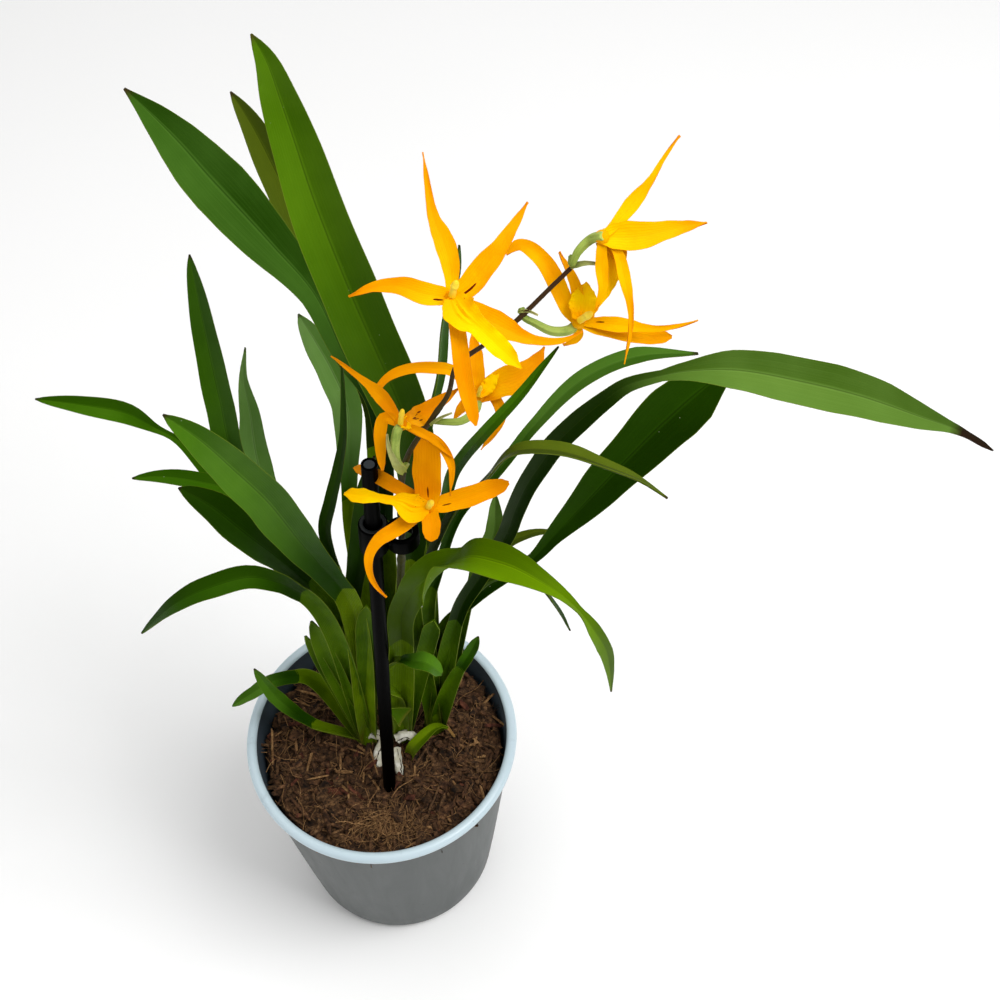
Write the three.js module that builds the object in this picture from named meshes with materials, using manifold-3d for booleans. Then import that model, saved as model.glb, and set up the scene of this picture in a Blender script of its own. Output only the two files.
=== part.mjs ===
// A flowering brassia orchid growing in a plastic pot, tied to a short stake.
// Millimetres, +Z up. The origin is the centre of the pot's base, and the plant's front is -Y.
import * as THREE from 'three';
import { mergeVertices } from 'three/addons/utils/BufferGeometryUtils.js';
import Module from 'manifold-3d';

const wasm = await Module();
wasm.setup();

// Driving dimensions.
const gap = 0.3;
const potHeight = 132;
const potBaseRadius = 48.5;
const potRimRadius = 65;
const potWall = 2;
const lipWidth = 5;
const soilHeight = 117;
const bladeThickness = 1;
const keelDepth = 0.7;
const sheathThickness = 1.6;
const jointGap = 0.4;
const footDepth = 10;
const footRadius = 5.6;
const stakeRadius = 3;
const stakeHeight = 363;
const collarWall = 2.6;
const clipRingRadius = 6.5;
const clipBoreRadius = 4.2;
const clipArmRadius = 2.6;
const spikeRadius = 2;
const spikeTipRadius = 0.9;
const tepalThickness = 0.8;
const discRadius = 2.4;
const lipRise = 3.2;

const paint = {
  pot: [0xa9b4b8, 0.45],
  soil: [0x3d261b, 0.95],
  plastic: [0x151515, 0.4],
  leaf: [0x2f5a12, 0.4],
  paleLeaf: [0x4f7a12, 0.4],
  sheath: [0x6b8420, 0.5],
  root: [0xcfccc0, 0.8],
  spike: [0x4a2c22, 0.5],
  stalk: [0x9fb04e, 0.45],
  tepal: [0xf59a0c, 0.5],
  lip: [0xfbc417, 0.5],
};

// Each growth is a fan of leaves that clasp one another from its foot in the potting bark.
const growthFeet = {
  left: [-7, 5],
  centre: [9, 6],
  right: [25, 10],
};

// Directions that the upper face of a leaf may look in.
const facing = {
  front: [0, -0.6, 0.8],
  level: [0, -1, 0.25],
  sky: [0, -0.15, 1],
  back: [0, 0.45, 0.9],
  under: [0.1, 0.6, -0.8],
  aside: [1, -0.45, 0.2],
  rear: [-0.35, 0.8, -0.2],
};

// Every leaf: its growth, its full width, the way its upper face looks at the joint and at the tip,
// and the points of its midrib from the joint on its sheath to its tip.
const leaves = [
  { name: 'leaf_left_broad', growth: 'left', width: 17, faces: ['front', 'front'], base: 0.55,
    midrib: [[-5, 0, 261], [-16.8, -3, 301], [-24.8, -6, 333], [-33, -9, 357], [-41, -12, 379],
      [-50, -13, 394]] },
  { name: 'leaf_left_twisted', growth: 'left', width: 12, faces: ['front', 'front'], neck: 0.65,
    base: 0.32,
    midrib: [[-14, 16, 236], [-29, 30, 251], [-51, 42, 266], [-68, 50, 284], [-78, 54, 304],
      [-89, 52.9, 312.5], [-105, 52.2, 318.5], [-121, 52, 327]] },
  { name: 'leaf_left_upright', growth: 'left', width: 12, faces: ['front', 'front'],
    midrib: [[-18, 26, 240], [-33, 42, 251], [-48, 53, 280], [-48.6, 58, 316], [-48.6, 62, 353],
      [-49, 64, 391]] },
  { name: 'leaf_left_short', growth: 'left', width: 11, faces: ['front', 'front'], taper: 2,
    midrib: [[-26, 36, 226], [-37.1, 55, 236], [-40.9, 67.7, 262], [-37.9, 71.7, 291],
      [-38.8, 74, 327]] },
  { name: 'leaf_left_low', growth: 'left', width: 9.5, faces: ['sky', 'sky'],
    midrib: [[-15, 12, 250], [-28, 18, 280], [-42, 22, 300], [-57, 24, 306], [-73, 26, 308],
      [-84, 26, 308]] },
  { name: 'leaf_left_dark', growth: 'left', width: 16.5, faces: ['sky', 'sky'],
    midrib: [[-19, 4, 260], [-28, 3, 280], [-38, 2, 300], [-49.8, 5.9, 314.6], [-60.8, 8.9, 323.6]] },
  { name: 'leaf_left_arching', growth: 'left', width: 12, faces: ['front', 'sky'], taper: 1.6,
    midrib: [[-20, -8, 272], [-27, -11, 285], [-37, -13, 293], [-52, -17, 293], [-66, -19, 286],
      [-85, -19, 264]] },
  { name: 'leaf_pot_edge', growth: 'left', width: 6, faces: ['front', 'sky'], base: 0.9,
    midrib: [[-22, 9, 170], [-34, 11, 171], [-47, 11, 167], [-60, 10, 156], [-70, 9, 147]] },
  { name: 'leaf_soil_level', growth: 'left', width: 7, faces: ['sky', 'front'],
    midrib: [[-20, 0, 134], [-30, 1, 140], [-38, 2, 149], [-46, 2, 169], [-52, 3, 192]] },
  { name: 'leaf_left_edge_on', growth: 'left', width: 8, faces: ['aside', 'aside'], base: 0.7,
    midrib: [[-10, 18, 248], [-15.6, 22, 273], [-9, 25.3, 303], [-0.4, 25, 329], [5, 25, 353],
      [7, 25, 370]] },
  { name: 'leaf_behind_stake', growth: 'left', width: 9, faces: ['front', 'front'], base: 0.8,
    midrib: [[-3, 9, 240], [3.6, 14, 276], [8.6, 18, 305], [13.3, 19, 325]] },
  { name: 'leaf_tall', growth: 'centre', width: 23, faces: ['front', 'front'], taper: 6, pale: true,
    midrib: [[23, 16, 257], [28, 18, 297], [28, 21, 332], [22, 24, 361], [12, 29, 402], [3, 35, 443],
      [0, 38, 464], [-2, 40, 480], [-4, 40, 494], [-7, 40, 504]] },
  { name: 'leaf_upper_left', growth: 'centre', width: 22, faces: ['front', 'front'], base: 0.38,
    taper: 4,
    midrib: [[13, 26, 273], [14, 30, 309], [11, 36, 342], [0.2, 42.8, 373.1], [-12.8, 52.8, 396.1],
      [-26.5, 60.8, 414.1], [-39.5, 66.8, 429.1], [-49, 72, 444], [-58, 74, 459]] },
  { name: 'leaf_upper_rear', growth: 'centre', width: 16, faces: ['front', 'front'],
    midrib: [[10, 58, 281], [10.3, 65.7, 299], [2, 75.7, 335], [-8.6, 84, 380], [-17, 88, 411],
      [-22, 90, 428], [-27, 90, 443]] },
  { name: 'leaf_rear_pale', growth: 'centre', width: 12, faces: ['under', 'under'],
    midrib: [[-3, 44, 263], [-1, 50, 290], [1.6, 54, 313], [-2.4, 56, 332], [-4.4, 56, 349],
      [-13, 55, 369]] },
  { name: 'leaf_behind_bloom', growth: 'right', width: 7, faces: ['aside', 'aside'],
    midrib: [[30, 30, 276], [33, 40, 313], [39, 50, 335], [43, 56, 363], [48, 59, 380],
      [50, 60, 395]] },
  { name: 'leaf_front_arching', growth: 'centre', width: 12, faces: ['rear', 'sky'], base: 1.25,
    taper: 1.7, pale: true,
    midrib: [[20, -6, 229], [27, -12, 270], [39, -18, 301], [54, -25, 320], [63.6, -34.7, 319.2],
      [75.6, -39.7, 312.2], [85.6, -43.7, 302.2], [95.6, -46.7, 285.2], [101, -45, 271],
      [103, -45, 247]] },
  { name: 'leaf_curled', growth: 'centre', width: 8, faces: ['sky', 'sky'],
    midrib: [[18, -12, 217], [22, -17, 229], [28, -20, 234], [34, -21, 226]] },
  { name: 'leaf_right_slender', growth: 'right', width: 4.8, faces: ['front', 'front'], base: 0.7,
    midrib: [[32, 25, 257], [39, 12, 301], [45, -1, 342], [57, -17, 384], [69, -13, 398], [76, -8, 405],
      [80, -4, 409]] },
  { name: 'leaf_right_high', growth: 'right', width: 10, faces: ['front', 'sky'],
    midrib: [[31, 14, 238], [44, 22, 280], [61, 30, 299], [76.8, 37.5, 317.2], [96.8, 45.5, 330.9],
      [115.8, 49.5, 340.9], [139.8, 51.5, 340.9]] },
  { name: 'leaf_right_long', growth: 'right', width: 18, faces: ['front', 'front'], base: 0.3,
    swell: [0.5, 0.66], tail: 0.92,
    midrib: [[46, 8, 220], [62, 8, 278], [71.3, 5, 309.9], [85.3, 5.3, 341.9], [101, 5.3, 365.2],
      [119.9, 7.1, 380.4], [144, 6, 384], [167, 4, 379], [189, 2, 372], [211, 0, 362], [227, 0, 353],
      [243, 0, 340]] },
  { name: 'leaf_right_dark', growth: 'right', width: 18, faces: ['front', 'front'], base: 0.3,
    swell: [0.1, 0.7],
    midrib: [[46, 19, 208], [60, 20, 227], [76, 24, 247], [92, 32, 263], [107, 38, 277], [125, 46, 297],
      [139, 52, 309], [159, 58, 324]] },
  { name: 'leaf_right_thin', growth: 'right', width: 10, faces: ['front', 'back'], base: 0.36,
    midrib: [[27, 0, 266], [41.3, -6, 317], [56.1, -14.7, 353.9], [67, -18, 374], [82, -21, 377],
      [97, -24, 372], [109, -27, 367], [119, -30, 360]] },
  { name: 'leaf_right_hidden', growth: 'right', width: 9, faces: ['under', 'sky'],
    midrib: [[49, 10, 204], [53, 13, 222], [60, 12, 242], [72, 10, 249], [83, 8, 231], [90, 6, 211]] },
  { name: 'leaf_right_stub', growth: 'right', width: 8, faces: ['front', 'front'],
    midrib: [[60.3, 33.9, 220.7], [55, 36, 240], [60, 42, 265]] },
  { name: 'leaf_right_olive', growth: 'right', width: 5, faces: ['sky', 'sky'],
    midrib: [[56.6, 34.8, 214.1], [63, 44, 225], [74, 46, 228], [85, 46, 231]] },
  { name: 'leaf_right_base', growth: 'right', width: 5.5, faces: ['front', 'front'], base: 0.9,
    midrib: [[40, 5, 183], [45, 8, 192], [49, 9, 203]] },
];

// The flower spike, from the bark up through the clip and over to the right.
const spikePoints = [[11, 18, 108], [12, 14, 160], [16, 8, 215], [19, 2, 262], [23, -8, 308],
  [26, -14, 350], [30.3, -15.5, 371.7], [39, -14, 388], [45, -12, 398], [48.7, -10.7, 411.5],
  [57.7, -9.8, 419.7], [67.5, -8.5, 428.2], [79.4, -4.1, 439.2], [85.6, -1.7, 444.8]];

// Every bloom: its centre, where its stalk leaves the spike, and its parts in the plane of the bloom,
// which leans back and is rolled a little. The points of each midrib are millimetres to the right,
// uphill and forward of the centre.
const bloomLean = 54.5;
const bloomRoll = -2.1;
const blooms = [
  { name: 'bloom_top_left', at: [49, -20, 453], stalkFrom: [58, -8, 421], column: [1.5, 4],
    lip: { width: 11, path: [[3.6, -5.7, 4], [8.6, -10.4, 6], [13.6, -15.3, 5], [21, -21.9, 3]] },
    tepals: [
      { width: 6.4, path: [[-2.5, 13.4, 1], [-5.5, 23.5, 0], [-7.7, 34.9, -2], [-8.7, 44.7, -4]] },
      { width: 8.8, path: [[8.6, 7.5, 1], [15.1, 15.8, 1], [19.3, 22.3, 0], [22.9, 28.9, -2]] },
      { width: 6.8, path: [[-8.7, 1.2, 1], [-15.6, 3.3, 1], [-23.4, 3.2, 0], [-31.1, 0.4, -2]] },
      { width: 5.2, blunt: true, path: [[2, -12.2, 1], [2.9, -21, 0], [5.2, -31.1, -2],
        [7, -38.1, -5]] },
      { width: 7.5, path: [[15.7, -9, -1], [23.5, -12.1, -3], [32.3, -12.4, -5], [39.4, -9.5, -7]] },
    ] },
  { name: 'bloom_behind', at: [55, -4, 387], stalkFrom: [39, -14, 387], column: [1, 3],
    stalk: [[43.8, -15.1, 387.6], [48.9, -14.4, 386.9], [53.3, -10.8, 387.0]],
    lip: { width: 7, path: [[4, 3, 3], [6, 7, 3], [8, 11, 2]] },
    tepals: [
      { width: 6.2, path: [[-0.9, 7.8, 1], [-1.2, 15.1, 0], [-2.3, 22.8, -2]] },
      { width: 9, path: [[7.3, 4.2, 0], [13.5, 6.4, -2], [18.6, 10.7, -4], [22.8, 17.4, -6]] },
      { width: 4, path: [[-8.7, 8.5, 1], [-15.2, 9.6, 0], [-24.2, 9.5, -2], [-31.5, 6.5, -4],
        [-36.8, 0.2, -6]] },
      { width: 5, path: [[7, -1, -2], [8, -9, -4], [0, -20, -7]] },
      { width: 4, path: [[-3, -1, -2], [-6, -4, -4], [-9, -8, -6]] },
    ] },
  { name: 'bloom_left', at: [29, -18, 391], stalkFrom: [29, -16, 366], column: [1, 4.5],
    lip: { width: 5, path: [[1, -2, 2], [2, -5, 2], [3, -8, 1]] },
    tepals: [
      { width: 5.2, path: [[-3, 5.6, 0], [-9, 12, 0], [-15.4, 17.4, -1], [-23.3, 22.6, -3]] },
      { width: 7.6, path: [[3.4, 1.5, -4], [6.9, 4.1, -14], [11.6, 8, -16], [19.2, 13.1, -15]] },
      { width: 4.5, path: [[-6, 1.5, 0], [-7.5, -5, -1], [-7, -16, -4]] },
      { width: 3, path: [[9, -4, -2], [17, -11, -5]] },
      { width: 3.5, path: [[12, -6, -4], [16.5, -13.5, -6], [16, -24, -9]] },
    ] },
  { name: 'bloom_front', at: [36, -26, 354], stalkFrom: [26, -14, 342], column: [1.5, 2],
    lip: { width: 9, path: [[-5, -0.4, 3], [-9.7, 1.7, 5], [-19.8, 3.5, 5], [-29.3, 4.5, 4]] },
    tepals: [
      { width: 10, blunt: true, path: [[-0.5, 12, 2], [-0.5, 26, 3]] },
      { width: 7.2, blunt: true, path: [[11.3, 2.8, 1], [20.4, 5.9, 1], [28.1, 8.4, 1]] },
      { width: 5.4, path: [[-11.4, -7.7, 1], [-17.6, -11.9, 2], [-20.7, -17.1, 2], [-20.4, -23.4, 2],
        [-18, -28.3, 1], [-14.6, -31.5, 0]] },
      { width: 6.5, blunt: true, path: [[1, -6, 2], [1, -12, 3]] },
      { width: 5, path: [[-10, 7, -1], [-15, 10, -7], [-20, 13, -15], [-26, 15, -20]] },
    ] },
  { name: 'bloom_right', at: [88, -8, 427], stalkFrom: [70, -5, 431], column: [4, 2],
    stalk: [[70.7, -7.6, 429.8], [74.1, -9.3, 428.6], [79.4, -10.8, 426.3], [84.9, -9.4, 424.9]],
    lip: { width: 8, path: [[1, 4, 4], [2, 7, 5], [4, 12, 5]] },
    tepals: [
      { width: 7.2, path: [[-4, 6.3, 0], [-8.8, 14.4, 1], [-13.5, 21.7, 1], [-18.3, 25.4, 0],
        [-21.4, 23.9, -1], [-23.3, 20.8, -3]] },
      { width: 3.8, path: [[-0.6, 8.9, 2], [-2.8, 15.5, 2], [-6.3, 22, 1]] },
      { width: 5, path: [[13.3, -1.2, 2], [24.3, -2.6, 3], [30.6, -1.7, 3], [37.4, 0.1, 4]] },
      { width: 6, blunt: true, path: [[13.6, -2.7, -2], [23, -4.2, -3], [30, -4.5, -3]] },
      { width: 3, path: [[-0.4, -4.8, -3], [-4.7, -6.8, -5]] },
    ] },
  { name: 'bloom_top_right', at: [95, 0, 456], stalkFrom: [86, 1, 447], column: [1, -3],
    fromBehind: true, stalk: [[85.9, -2.2, 447.2], [87.7, -0.7, 450.7], [91.5, 1.5, 453.5]],
    lip: { width: 7, path: [[2, -6, -4], [3, -14, -6], [0, -22, -7]] },
    tepals: [
      { width: 5, path: [[4.9, 5.5, 0], [10.5, 11.2, -1], [15.4, 17.2, -2], [19.5, 25.4, -3],
        [24.6, 31.8, -4]] },
      { width: 9, path: [[11.1, 0.5, -1], [21.9, 2.8, -2], [32.5, 5.3, -4]] },
      { width: 5.2, path: [[4.3, -7.5, -1], [7.2, -15.9, -2], [8.8, -23.1, -3], [9.2, -32.5, -4],
        [6.9, -39.4, -6]] },
      { width: 4, path: [[0, -9, -2], [0.5, -15, -3], [-2, -22, -4]] },
      { width: 5, path: [[5, -4, -4], [7, -8, -9]] },
    ] },
];

// The roots that show on the bark, each from the foot of the plant to where it dives in.
const rootPaths = [
  [[2, 1, 122], [-3, -6, 120], [-6, -12, 116]],
  [[6, -4, 122], [7, -10, 121], [8, -17, 115]],
  [[11, -4, 128], [15, -3.5, 126], [19.5, -4, 121]],
  [[-5, -4.5, 129], [-10, -5, 127], [-14, -6, 122]],
];
const rootRadius = 2.4;

const vector = ([x, y, z]) => new THREE.Vector3(x, y, z);

// A closed skin over rings of points. Each ring runs along one face and back along the other.
function skin(rings) {
  const count = rings[0].length;
  const positions = rings.flat().flatMap((point) => [point.x, point.y, point.z]);
  const index = [];
  for (let ring = 0; ring < rings.length - 1; ring += 1) {
    for (let side = 0; side < count; side += 1) {
      const next = (side + 1) % count;
      const a = ring * count + side;
      const b = ring * count + next;
      index.push(a, b, b + count, a, b + count, a + count);
    }
  }
  const last = (rings.length - 1) * count;
  for (let side = 0; side < count / 2 - 1; side += 1) {
    const corners = [side, side + 1, count - 2 - side, count - 1 - side];
    const [a, b, c, d] = corners;
    index.push(a, c, b, a, d, c);
    index.push(last + a, last + b, last + c, last + a, last + c, last + d);
  }
  const geometry = new THREE.BufferGeometry();
  geometry.setAttribute('position', new THREE.Float32BufferAttribute(positions, 3));
  geometry.setIndex(index);
  return geometry;
}

// The cross-section of a blade: a shallow V with a keel under its midrib.
function bladeRing({ centre, tangent, face, halfWidth, fold, stations }, thickness, keel, extra = 0) {
  const side = face.clone().cross(tangent).normalize();
  const up = tangent.clone().cross(side);
  const place = (station, drop) => centre.clone()
    .addScaledVector(side, station * (halfWidth + extra))
    .addScaledVector(up, fold * halfWidth * Math.abs(station) ** 1.4 - drop);
  const upper = stations.map((station) => place(station, -extra));
  const lower = stations.map((station) => place(station, thickness + extra + (station === 0 ? keel : 0)));
  return [...upper, ...lower.reverse()];
}

// How wide a leaf is along its length: narrow at the joint, widest past the middle, pointed at the tip.
// A leaf with a tail ends in a dry thread, and a neck is where a leaf is pinched and twisted.
function leafProfile({ base = 0.5, swell = [0, 0.5], taper = 5, tail = 1, neck }, t) {
  const spread = THREE.MathUtils.lerp(base, 1, THREE.MathUtils.smoothstep(t, ...swell));
  const point = (1 - Math.min(t / tail, 1) ** taper) ** 0.7;
  const pinch = neck ? 1 - 0.75 * Math.exp(-(((t - neck) / 0.1) ** 2)) : 1;
  return spread * point * pinch;
}

function leafSection(leaf, t) {
  const { curve, faces, width } = leaf;
  const [low, high] = faces.map((name) => vector(facing[name]));
  return {
    centre: curve.getPointAt(t),
    tangent: curve.getTangentAt(t),
    face: low.lerp(high, t),
    halfWidth: Math.max(0.5 * width * leafProfile(leaf, t), 0.7),
    fold: THREE.MathUtils.lerp(0.7, 0.3, Math.min(t * 2, 1)),
    stations: width > 10 ? [1, 0.5, 0, -0.5, -1] : [1, 0, -1],
  };
}

function blade(leaf, extra = 0) {
  const segments = Math.max(6, Math.round(leaf.curve.getLength() / 22));
  const rings = [];
  for (let ring = 0; ring <= segments; ring += 1) {
    const t = ring / segments;
    rings.push(bladeRing(leafSection(leaf, t), bladeThickness, keelDepth * (1 - t), extra));
  }
  return skin(rings);
}

// The sheath below a leaf's joint, from the foot of its growth.
function sheath(leaf, extra = 0) {
  const [x, y] = growthFeet[leaf.growth];
  const joint = leafSection(leaf, 0);
  const foot = new THREE.Vector3(x, y, soilHeight - footDepth / 2);
  const end = joint.centre.clone().addScaledVector(joint.tangent, -jointGap);
  const reach = foot.distanceTo(end) / 3;
  const rise = foot.clone().lerp(end, 0.3).add(new THREE.Vector3(0, 0, 6));
  const lead = end.clone().addScaledVector(joint.tangent, -reach);
  const path = new THREE.CubicBezierCurve3(foot, rise, lead, end);
  const segments = 4;
  const rings = [];
  for (let ring = 0; ring <= segments; ring += 1) {
    const t = ring / segments;
    rings.push(bladeRing({
      centre: path.getPoint(t),
      tangent: path.getTangent(t),
      face: joint.face,
      halfWidth: THREE.MathUtils.lerp(footRadius * 0.6, joint.halfWidth, t) + 1.5 * Math.sin(Math.PI * t),
      fold: THREE.MathUtils.lerp(0.9, joint.fold, t),
      stations: [1, 0, -1],
    }, sheathThickness, keelDepth, extra));
  }
  return skin(rings);
}

// A round tube through points, tapering from one radius to the other, with an even number of sides.
function tube(points, startRadius, endRadius, segments, sides = 8) {
  const curve = new THREE.CatmullRomCurve3(points.map(vector));
  const frames = curve.computeFrenetFrames(segments, false);
  const rings = [];
  for (let ring = 0; ring <= segments; ring += 1) {
    const centre = curve.getPointAt(ring / segments);
    const radius = THREE.MathUtils.lerp(startRadius, endRadius, ring / segments);
    rings.push(Array.from({ length: sides }, (_, side) => {
      const angle = (2 * Math.PI * side) / sides;
      return centre.clone()
        .addScaledVector(frames.normals[ring], radius * Math.cos(angle))
        .addScaledVector(frames.binormals[ring], radius * Math.sin(angle));
    }));
  }
  return skin(rings);
}

// Boolean joins and cuts.
function solid(geometry) {
  const bare = geometry.clone();
  bare.deleteAttribute('normal');
  bare.deleteAttribute('uv');
  const merged = mergeVertices(bare);
  return new wasm.Manifold(new wasm.Mesh({
    numProp: 3,
    vertProperties: new Float32Array(merged.attributes.position.array),
    triVerts: new Uint32Array(merged.index.array),
  }));
}

const joined = (geometries) => geometries.map(solid).reduce((sum, body) => sum.add(body));

function largestBody(body) {
  return body.decompose().reduce((best, piece) => (piece.volume() > best.volume() ? piece : best));
}

// Slivers left by a cut are cleaned away before a body becomes a piece.
function geometryOf(body) {
  const mesh = body.simplify(0.03).getMesh();
  const geometry = new THREE.BufferGeometry();
  geometry.setAttribute('position', new THREE.BufferAttribute(new Float32Array(mesh.vertProperties), 3));
  geometry.setIndex(new THREE.BufferAttribute(new Uint32Array(mesh.triVerts), 1));
  return geometry;
}

const orchid = new THREE.Group();

function addPiece(name, geometry, [color, roughness]) {
  geometry.computeVertexNormals();
  const material = new THREE.MeshStandardMaterial({ color, roughness, metalness: 0 });
  const mesh = new THREE.Mesh(geometry, material);
  mesh.name = name;
  orchid.add(mesh);
}

function lathe(profile, segments) {
  const geometry = new THREE.LatheGeometry(profile.map(([r, z]) => new THREE.Vector2(r, z)), segments);
  return geometry.rotateX(Math.PI / 2);
}

function cylinder(radius, bottom, top, [x, y], sides = 20) {
  return new THREE.CylinderGeometry(radius, radius, top - bottom, sides)
    .rotateX(Math.PI / 2)
    .translate(x, y, (bottom + top) / 2);
}

// The pot: a tapered wall with a flat base and a rolled rim.
const wallTopRadius = potRimRadius - 2.5;
const innerTopRadius = potRimRadius - lipWidth;
const wallRadius = (z) => THREE.MathUtils.lerp(potBaseRadius, wallTopRadius, (z / potHeight) ** 0.9);

function potGeometry() {
  return lathe([
    [0, 0], [potBaseRadius - 3, 0], [potBaseRadius, 2.5], [wallRadius(30), 30], [wallRadius(75), 75],
    [wallTopRadius - 0.4, 124], [potRimRadius, 127], [potRimRadius, 130.5], [potRimRadius - 1.5, potHeight],
    [innerTopRadius + 1.5, potHeight], [innerTopRadius, 130.5], [innerTopRadius - 0.4, 120],
    [wallRadius(30) - potWall, 30], [potBaseRadius - potWall, 4], [0, 3],
  ], 40);
}

// The bark heaps up and dips by a few millimetres.
const soilRelief = (x, y) => 1.6 * Math.sin(0.21 * x + 0.7) * Math.cos(0.17 * y)
  + Math.sin(0.37 * y + 0.29 * x);

function soilGeometry() {
  const insideTop = innerTopRadius - 0.4 - 2 * gap;
  const insideBase = potBaseRadius - potWall - 2 * gap;
  const rings = [0.96, 0.8, 0.6, 0.4, 0.2];
  const geometry = lathe([
    [0, 4.4], [insideBase, 5.2], [wallRadius(30) - potWall - 2 * gap, 30], [insideTop - 1.4, soilHeight - 6],
    ...rings.map((share) => [insideTop * share, soilHeight]), [0, soilHeight],
  ], 30);
  const place = geometry.attributes.position;
  for (let corner = 0; corner < place.count; corner += 1) {
    if (place.getZ(corner) > soilHeight - 1) {
      place.setZ(corner, soilHeight + soilRelief(place.getX(corner), place.getY(corner)));
    }
  }
  return geometry;
}

// The stake stands in the bark in front of the growths, leaning a little to the right and back.
const stakeFoot = [3, -21];
const stakeTop = [15.5, -12];
const stakePath = (radius, low, high) => {
  const along = (z) => {
    const share = (z - soilHeight) / (stakeHeight - soilHeight);
    return [THREE.MathUtils.lerp(stakeFoot[0], stakeTop[0], share),
      THREE.MathUtils.lerp(stakeFoot[1], stakeTop[1], share), z];
  };
  return tube([along(low), along((low + high) / 2), along(high)], radius, radius, 2, 10);
};

// The clip: a collar on the stake and a ring round the spike, joined by a short arm.
function clipGeometry(spikeClear) {
  const collar = solid(stakePath(stakeRadius + collarWall, 312, 327));
  const ringCentre = [23.5, -9, 312];
  const ring = solid(cylinder(clipRingRadius, 308, 316, ringCentre));
  const armPath = [[14, -13, 318], [18, -12, 315], [23, -9.5, 312]];
  const arm = solid(tube(armPath, clipArmRadius, clipArmRadius, 3));
  const bore = solid(cylinder(clipBoreRadius, 300, 324, ringCentre));
  const stakeHole = solid(stakePath(stakeRadius + gap, 300, 340));
  return geometryOf(collar.add(ring).add(arm).subtract(bore).subtract(stakeHole).subtract(spikeClear));
}

// The blooms' plane: right, uphill and forward directions.
const lean = THREE.MathUtils.degToRad(bloomLean);
const roll = THREE.MathUtils.degToRad(bloomRoll);
const bloomForward = new THREE.Vector3(0, -Math.cos(lean), Math.sin(lean));
const bloomRight = new THREE.Vector3(1, 0, 0).applyAxisAngle(bloomForward, roll);
const bloomUphill = bloomForward.clone().cross(bloomRight);

// A tepal or a lip: a thin blade along its midrib, cupped towards the bloom's front.
function petal(centre, { path, width, blunt = false }, start, profile, extra = 0) {
  const points = [start, ...path].map(([right, uphill, forward]) => centre.clone()
    .addScaledVector(bloomRight, right)
    .addScaledVector(bloomUphill, uphill)
    .addScaledVector(bloomForward, forward));
  const curve = new THREE.CatmullRomCurve3(points);
  const segments = Math.max(3, Math.round(curve.getLength() / 6.5));
  const rings = [];
  for (let ring = 0; ring <= segments; ring += 1) {
    const t = ring / segments;
    rings.push(bladeRing({
      centre: curve.getPointAt(t),
      tangent: curve.getTangentAt(t),
      face: bloomForward,
      halfWidth: Math.max(0.5 * width * profile(t, blunt), 0.5),
      fold: 0.25,
      stations: [1, 0, -1],
    }, tepalThickness, 0, extra));
  }
  return skin(rings);
}

function tepalProfile(t, blunt) {
  const spread = 0.5 + 0.5 * THREE.MathUtils.smoothstep(t, 0, 0.35);
  return spread * (blunt ? (1 - t ** 5) ** 0.8 : 1.15 * (1 - t ** 1.6) ** 0.9);
}

// Two side lobes near the base, a waist, and a pointed middle lobe.
function lipProfile(t) {
  const lobes = Math.exp(-(((t - 0.22) / 0.14) ** 2));
  const blade = Math.exp(-(((t - 0.6) / 0.24) ** 2));
  return 0.25 + 0.8 * lobes + 0.5 * blade - 0.25 * THREE.MathUtils.smoothstep(t, 0.7, 1);
}

function bloomTepals(bloom, extra = 0) {
  const centre = vector(bloom.at);
  const disc = new THREE.SphereGeometry(discRadius + extra, 7, 4).translate(centre.x, centre.y, centre.z);
  const petals = bloom.tepals.map((tepal) => petal(centre, tepal, [0, 0, 0], tepalProfile, extra));
  return joined([disc, ...petals]);
}

// The lip lies in front of the tepals, and the column stands over the lip's base.
function bloomLip(bloom) {
  const side = bloom.fromBehind ? -1 : 1;
  const centre = vector(bloom.at);
  const foot = centre.clone().addScaledVector(bloomForward, side * lipRise);
  const tip = foot.clone()
    .addScaledVector(bloomForward, side * 4)
    .addScaledVector(bloomRight, bloom.column[0])
    .addScaledVector(bloomUphill, bloom.column[1]);
  const column = tube([foot, foot.clone().lerp(tip, 0.5), tip].map((point) => point.toArray()), 1.8, 1.9, 3);
  const lip = petal(centre, bloom.lip, [0, 0, side * lipRise], lipProfile);
  return largestBody(joined([lip, column]).subtract(bloomTepals(bloom, gap)));
}

// The stalk with its ovary runs from the spike to the back of the bloom.
function bloomStalk(bloom) {
  const side = bloom.fromBehind ? -1 : 1;
  const end = vector(bloom.at).addScaledVector(bloomForward, -side * (discRadius - 0.2));
  const start = vector(bloom.stalkFrom);
  const bend = end.clone().addScaledVector(bloomForward, -side * 5).lerp(start, 0.25);
  const between = bloom.stalk ?? [bend.toArray()];
  const stalk = solid(tube([start.toArray(), ...between, end.toArray()], 1.2, 1.7, 8, 6));
  return largestBody(stalk.subtract(spikeClear).subtract(bloomTepals(bloom, gap)));
}

for (const leaf of leaves) {
  leaf.curve = new THREE.CatmullRomCurve3(leaf.midrib.map(vector));
}

const spike = solid(tube(spikePoints, spikeRadius, spikeTipRadius, 28, 6));
const spikeClear = solid(tube(spikePoints, spikeRadius + gap, spikeTipRadius + gap, 28, 6));
const stake = stakePath(stakeRadius, 30, stakeHeight);
const stakeClear = solid(stakePath(stakeRadius + gap, 20, 370));
const bladeClear = joined(leaves.map((leaf) => blade(leaf, gap)));

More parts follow.
